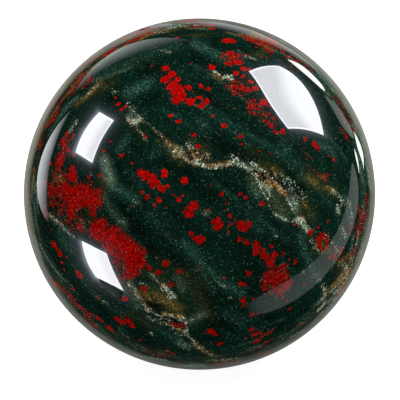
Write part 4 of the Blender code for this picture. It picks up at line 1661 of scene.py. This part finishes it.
    def bands(self) -> list[Panel]:
        """The faint broad panels at the right and the veil under the lower box."""
        rim = self.picture.rim_places
        upper_outer = rim(((38.5, 0.907), (36, 0.919), (32, 0.930), (28, 0.936), (24, 0.940), (20, 0.937)))
        upper_inner = rim(((38.5, 0.906), (36, 0.902), (32, 0.899), (28, 0.898), (24, 0.905), (20, 0.926)))
        lower_outer = rim((
            (11.7, 0.889), (7, 0.900), (1.5, 0.904), (-7, 0.902), (-14, 0.891), (-22, 0.874), (-30, 0.858),
            (-37, 0.840), (-45, 0.819), (-52, 0.801), (-58, 0.783), (-64, 0.764), (-68, 0.745),
        ))
        lower_inner = rim((
            (11.5, 0.887), (7.2, 0.863), (1.6, 0.851), (-7.8, 0.836), (-14, 0.818), (-20, 0.791),
            (-26, 0.768), (-32, 0.748), (-38.6, 0.724), (-45, 0.704), (-52, 0.689), (-58, 0.676),
            (-64, 0.665), (-68, 0.69),
        ))
        veil_outer = ((99, 280), (106, 289), (113, 296), (120.5, 301))
        veil_inner = ((100, 276), (108, 281), (116, 287), (124, 292))
        return [
            Panel(
                "band_upper_right", upper_outer, upper_inner, outer_light=0.12, inner_light=0.1, reach=0.37,
                tint=self.teal,
            ),
            Panel(
                "band_lower_right", lower_outer, lower_inner, outer_light=0.095, inner_light=0.07, reach=0.37,
                tint=self.teal, fade_out=0.08, far_share=0.36,
            ),
            Panel(
                "veil_lower_left", veil_outer, veil_inner, outer_light=0.035, inner_light=0.012, reach=0.37,
                tint=self.cool, fade_in=0.3, fade_out=0.3,
            ),
        ]

    def build(self) -> None:
        """Sets up the floor, the light and the panels."""
        bpy.context.scene.view_settings.view_transform = "Standard"
        self.add_floor()
        self.add_sky()
        self.add_lamp()
        for panel in (*self.boxes(), *self.slivers(), *self.arcs(), *self.bands()):
            panel.build(self.picture)


def main() -> None:
    """Builds the ball, its finish and the studio, and reports each piece."""
    logging.basicConfig(level=logging.INFO, format="%(message)s")
    log = logging.getLogger("bloodstone")
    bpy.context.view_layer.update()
    low, high = (np.array(corner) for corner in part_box(STONE_NODE))
    radius = float((high[:2] - low[:2]).max()) / 2
    centre = np.array([(low[0] + high[0]) / 2, (low[1] + high[1]) / 2, high[2] - radius])

    picture = Picture(centre, radius)
    picture.add_camera()
    marks = StoneMarks(picture)
    marks.add_seen_side()
    marks.add_hidden_side()
    ball = StoneBall(centre, radius, float(low[2]))
    piece = ball.build(marks)
    ball.dress(piece, picture)
    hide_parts(STONE_NODE)
    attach(piece, STONE_BODY)
    log.info("%s: %d vertices, %d faces", piece.name, len(piece.data.vertices), len(piece.data.polygons))

    Studio(picture).build()


if __name__ == "__main__":
    main()
